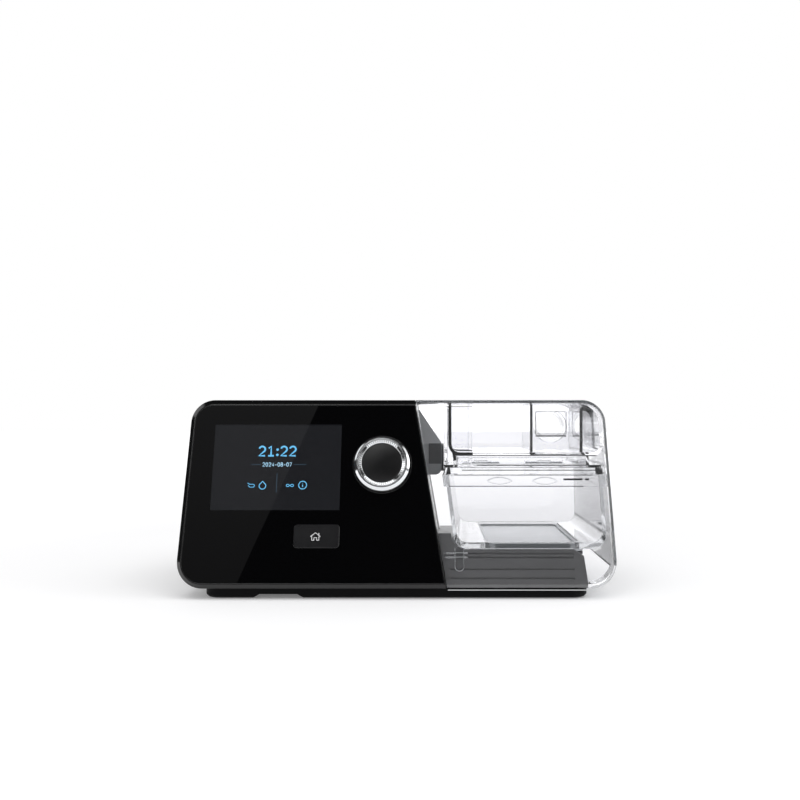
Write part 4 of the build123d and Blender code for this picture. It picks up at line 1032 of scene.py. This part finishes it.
def studioSky(look):
    # white to look at, even for the surfaces; gloss sees a dark room with a white wall behind
    # and a strip on each side, rays in clear walls a bright room with a dim front
    world = bpy.data.worlds.new("studioSky")
    scene.world = world
    world.use_nodes = True
    tree = world.node_tree
    tree.nodes.clear()
    direction = addNode(tree, "ShaderNodeTexCoord").outputs["Generated"]
    axes = addNode(tree, "ShaderNodeSeparateXYZ", {"Vector": direction}).outputs
    rays = addNode(tree, "ShaderNodeLightPath").outputs

    def past(axis, start, end):
        # 0 before start and 1 past end, along one axis of the sky
        return addNode(tree, "ShaderNodeMapRange", {
            "Value": axes[axis], "From Min": start, "From Max": end,
        }, interpolation_type="SMOOTHSTEP").outputs[0]

    def between(share, low, high):
        return addNode(tree, "ShaderNodeMix", {
            "Factor_Float": share, "A_Float": low, "B_Float": high,
        }, data_type="FLOAT").outputs[0]

    def unlessRay(kind, level, instead):
        # the level, but something else for one kind of ray
        isOne = addNode(tree, "ShaderNodeMath", {0: rays[kind], 1: 0.5}, operation="GREATER_THAN")
        return between(isOne.outputs[0], level, instead)

    start, end = look["sideEdge"]
    strips = []
    for side, rise in ((-1, look["leftRise"]), (1, look["rightRise"])):
        strips.append(addNode(tree, "ShaderNodeMath", {
            0: past("X", side * start, side * end), 1: past("Z", *rise),
        }, operation="MULTIPLY").outputs[0])
    strip = addNode(tree, "ShaderNodeMath", dict(enumerate(strips)), operation="MAXIMUM").outputs[0]
    beside = addNode(tree, "ShaderNodeMath", {
        0: strip, 1: past("Z", *look["stripTop"]),
    }, operation="MULTIPLY").outputs[0]
    bright = addNode(tree, "ShaderNodeMath", {
        0: past("Y", *look["wallBehind"]), 1: beside,
    }, operation="MAXIMUM").outputs[0]
    inClear = between(past("Y", *look["clearWindow"]), *look["clearSky"])
    level = between(bright, look["darkSky"], look["brightSky"])
    level = unlessRay("Transmission Depth", level, inClear)
    level = unlessRay("Diffuse Depth", level, look["lampSky"])
    level = unlessRay("Is Camera Ray", level, 1.0)
    background = addNode(tree, "ShaderNodeBackground", {"Color": white, "Strength": level})
    addNode(tree, "ShaderNodeOutputWorld", {"Surface": background.outputs[0]})


def studioFloor(look):
    # matte paper, lifted to white for every ray that only looks, not for those that light
    material, tree, place = newMaterial("floorPaper_matte")
    paper = addNode(tree, "ShaderNodeBsdfPrincipled", {
        "Roughness": look["floorRoughness"],
        "Specular IOR Level": 0.0,
        "Base Color": twoTones(tree, grainOf(tree, place, look["floorPatch"], 2.0), *look["floorTones"]),
    })
    rays = addNode(tree, "ShaderNodeLightPath").outputs
    throughClear = rays["Is Transmission Ray"]
    mirrored = addNode(tree, "ShaderNodeMath", {
        0: rays["Is Glossy Ray"], 1: throughClear,
    }, operation="MAXIMUM").outputs[0]
    looking = addNode(tree, "ShaderNodeMath", {
        0: rays["Is Camera Ray"], 1: mirrored,
    }, operation="MAXIMUM").outputs[0]
    away = addNode(tree, "ShaderNodeVectorMath", {0: place}, operation="LENGTH").outputs["Value"]
    farLift = addNode(tree, "ShaderNodeMapRange", {
        "Value": away, "From Min": look["liftReach"][0], "From Max": look["liftReach"][1],
        "To Min": look["lift"][0], "To Max": look["lift"][1],
    }).outputs[0]
    lift = addNode(tree, "ShaderNodeMath", {0: farLift, 1: looking}, operation="MULTIPLY").outputs[0]
    lift = addNode(tree, "ShaderNodeMath", {
        0: throughClear, 1: look["clearLift"], 2: lift,
    }, operation="MULTIPLY_ADD").outputs[0]
    glow = addNode(tree, "ShaderNodeEmission", {"Color": white, "Strength": lift})
    finishMaterial(tree, addNode(tree, "ShaderNodeAddShader", {0: paper.outputs[0], 1: glow.outputs[0]}))
    half = look["floorSize"] / 2
    mesh = bpy.data.meshes.new("floor")
    corners = [(-half, -half, 0), (half, -half, 0), (half, half, 0), (-half, half, 0)]
    mesh.from_pydata(corners, [], [(0, 1, 2, 3)])
    mesh.materials.append(material)
    floor = bpy.data.objects.new("floor", mesh)
    scene.collection.objects.link(floor)


softboxes = {
    "topSoftbox": {"place": (0.1, -0.5, 1.45), "aim": (0, 0, 0), "size": (1.5, 0.9), "watts": 8.0},
    "dialSoftbox": {"place": (-0.5, -1.0, 1.15), "aim": (0, -0.06, 0.08), "size": (0.5, 0.5), "watts": 0.8},
    "leftSoftbox": {"place": (-1.5, -0.9, 0.8), "aim": (0, 0, 0.05), "size": (0.8, 1.0), "watts": 3.5},
    "rightSoftbox": {"place": (1.5, -0.4, 0.7), "aim": (0, 0, 0.05), "size": (0.6, 1.0), "watts": 3.0},
}


def addSoftbox(name, look):
    lamp = bpy.data.lights.new(name, "AREA")
    lamp.shape = "RECTANGLE"
    lamp.size, lamp.size_y = look["size"]
    lamp.energy = look["watts"]
    holder = bpy.data.objects.new(name, lamp)
    holder.location = look["place"]
    direction = Vector(look["aim"]) - Vector(look["place"])
    holder.rotation_euler = direction.to_track_quat("-Z", "Y").to_euler()
    holder.visible_camera = False
    holder.visible_transmission = False
    scene.collection.objects.link(holder)


cardLook = {
    "distance": 1.5,            # in front of the machine
    "edge": ((-0.365, 0.756), (-0.2715, 1.050)),    # its right edge, as x and z
    "reach": 0.9,
    "low": 0.45,
    "high": 1.25,
    "level": (0.13, 0.28),      # at its low and its high edge
}


def reflectorCard(look):
    # dim card whose slanted edge shows in the face glass, left of the dial
    (x0, z0), (x1, z1) = look["edge"]
    slope = (x1 - x0) / (z1 - z0)
    corners = []
    for z in (look["low"], look["high"]):
        edge = x0 + (z - z0) * slope
        corners += [(edge - look["reach"], -look["distance"], z), (edge, -look["distance"], z)]
    mesh = bpy.data.meshes.new("card")
    mesh.from_pydata(corners, [], [(0, 1, 3, 2)])
    material, tree, place = newMaterial("cardPaper_lit")
    fade = addNode(tree, "ShaderNodeMapRange", {
        "Value": addNode(tree, "ShaderNodeSeparateXYZ", {"Vector": place}).outputs["Z"],
        "From Min": look["low"], "From Max": look["high"],
        "To Min": look["level"][0], "To Max": look["level"][1],
    })
    finishMaterial(tree, addNode(tree, "ShaderNodeEmission", {"Strength": fade.outputs[0]}))
    mesh.materials.append(material)
    card = bpy.data.objects.new("card", mesh)
    for sight in ("camera", "diffuse", "transmission", "shadow", "volume_scatter"):
        setattr(card, "visible_" + sight, False)
    scene.collection.objects.link(card)


cameraLook = {
    "place": (0.0221, -0.6025, 0.1075),     # level, looking along +Y
    "focalPixels": 905.9,
    "principal": (434, 417),                # where the axis meets the picture
    "picture": 800,
    "sensor": 36.0,
}


def addCamera(look):
    lens = bpy.data.cameras.new("camera")
    lens.sensor_width = look["sensor"]
    lens.lens = look["focalPixels"] / look["picture"] * look["sensor"]
    middle = look["picture"] / 2
    lens.shift_x = (middle - look["principal"][0]) / look["picture"]
    lens.shift_y = (look["principal"][1] - middle) / look["picture"]
    camera = bpy.data.objects.new("camera", lens)
    camera.location = look["place"]
    camera.rotation_euler = (math.radians(90), 0, 0)
    scene.collection.objects.link(camera)
    scene.camera = camera


studioSky(studio)
studioFloor(studio)
for name, look in softboxes.items():
    addSoftbox(name, look)
reflectorCard(cardLook)
addCamera(cameraLook)
lightBounces = 32               # light runs a long way inside the clear walls
for kind in ("max_bounces", "transmission_bounces", "glossy_bounces", "transparent_max_bounces"):
    setattr(scene.cycles, kind, lightBounces)
print("studio made")
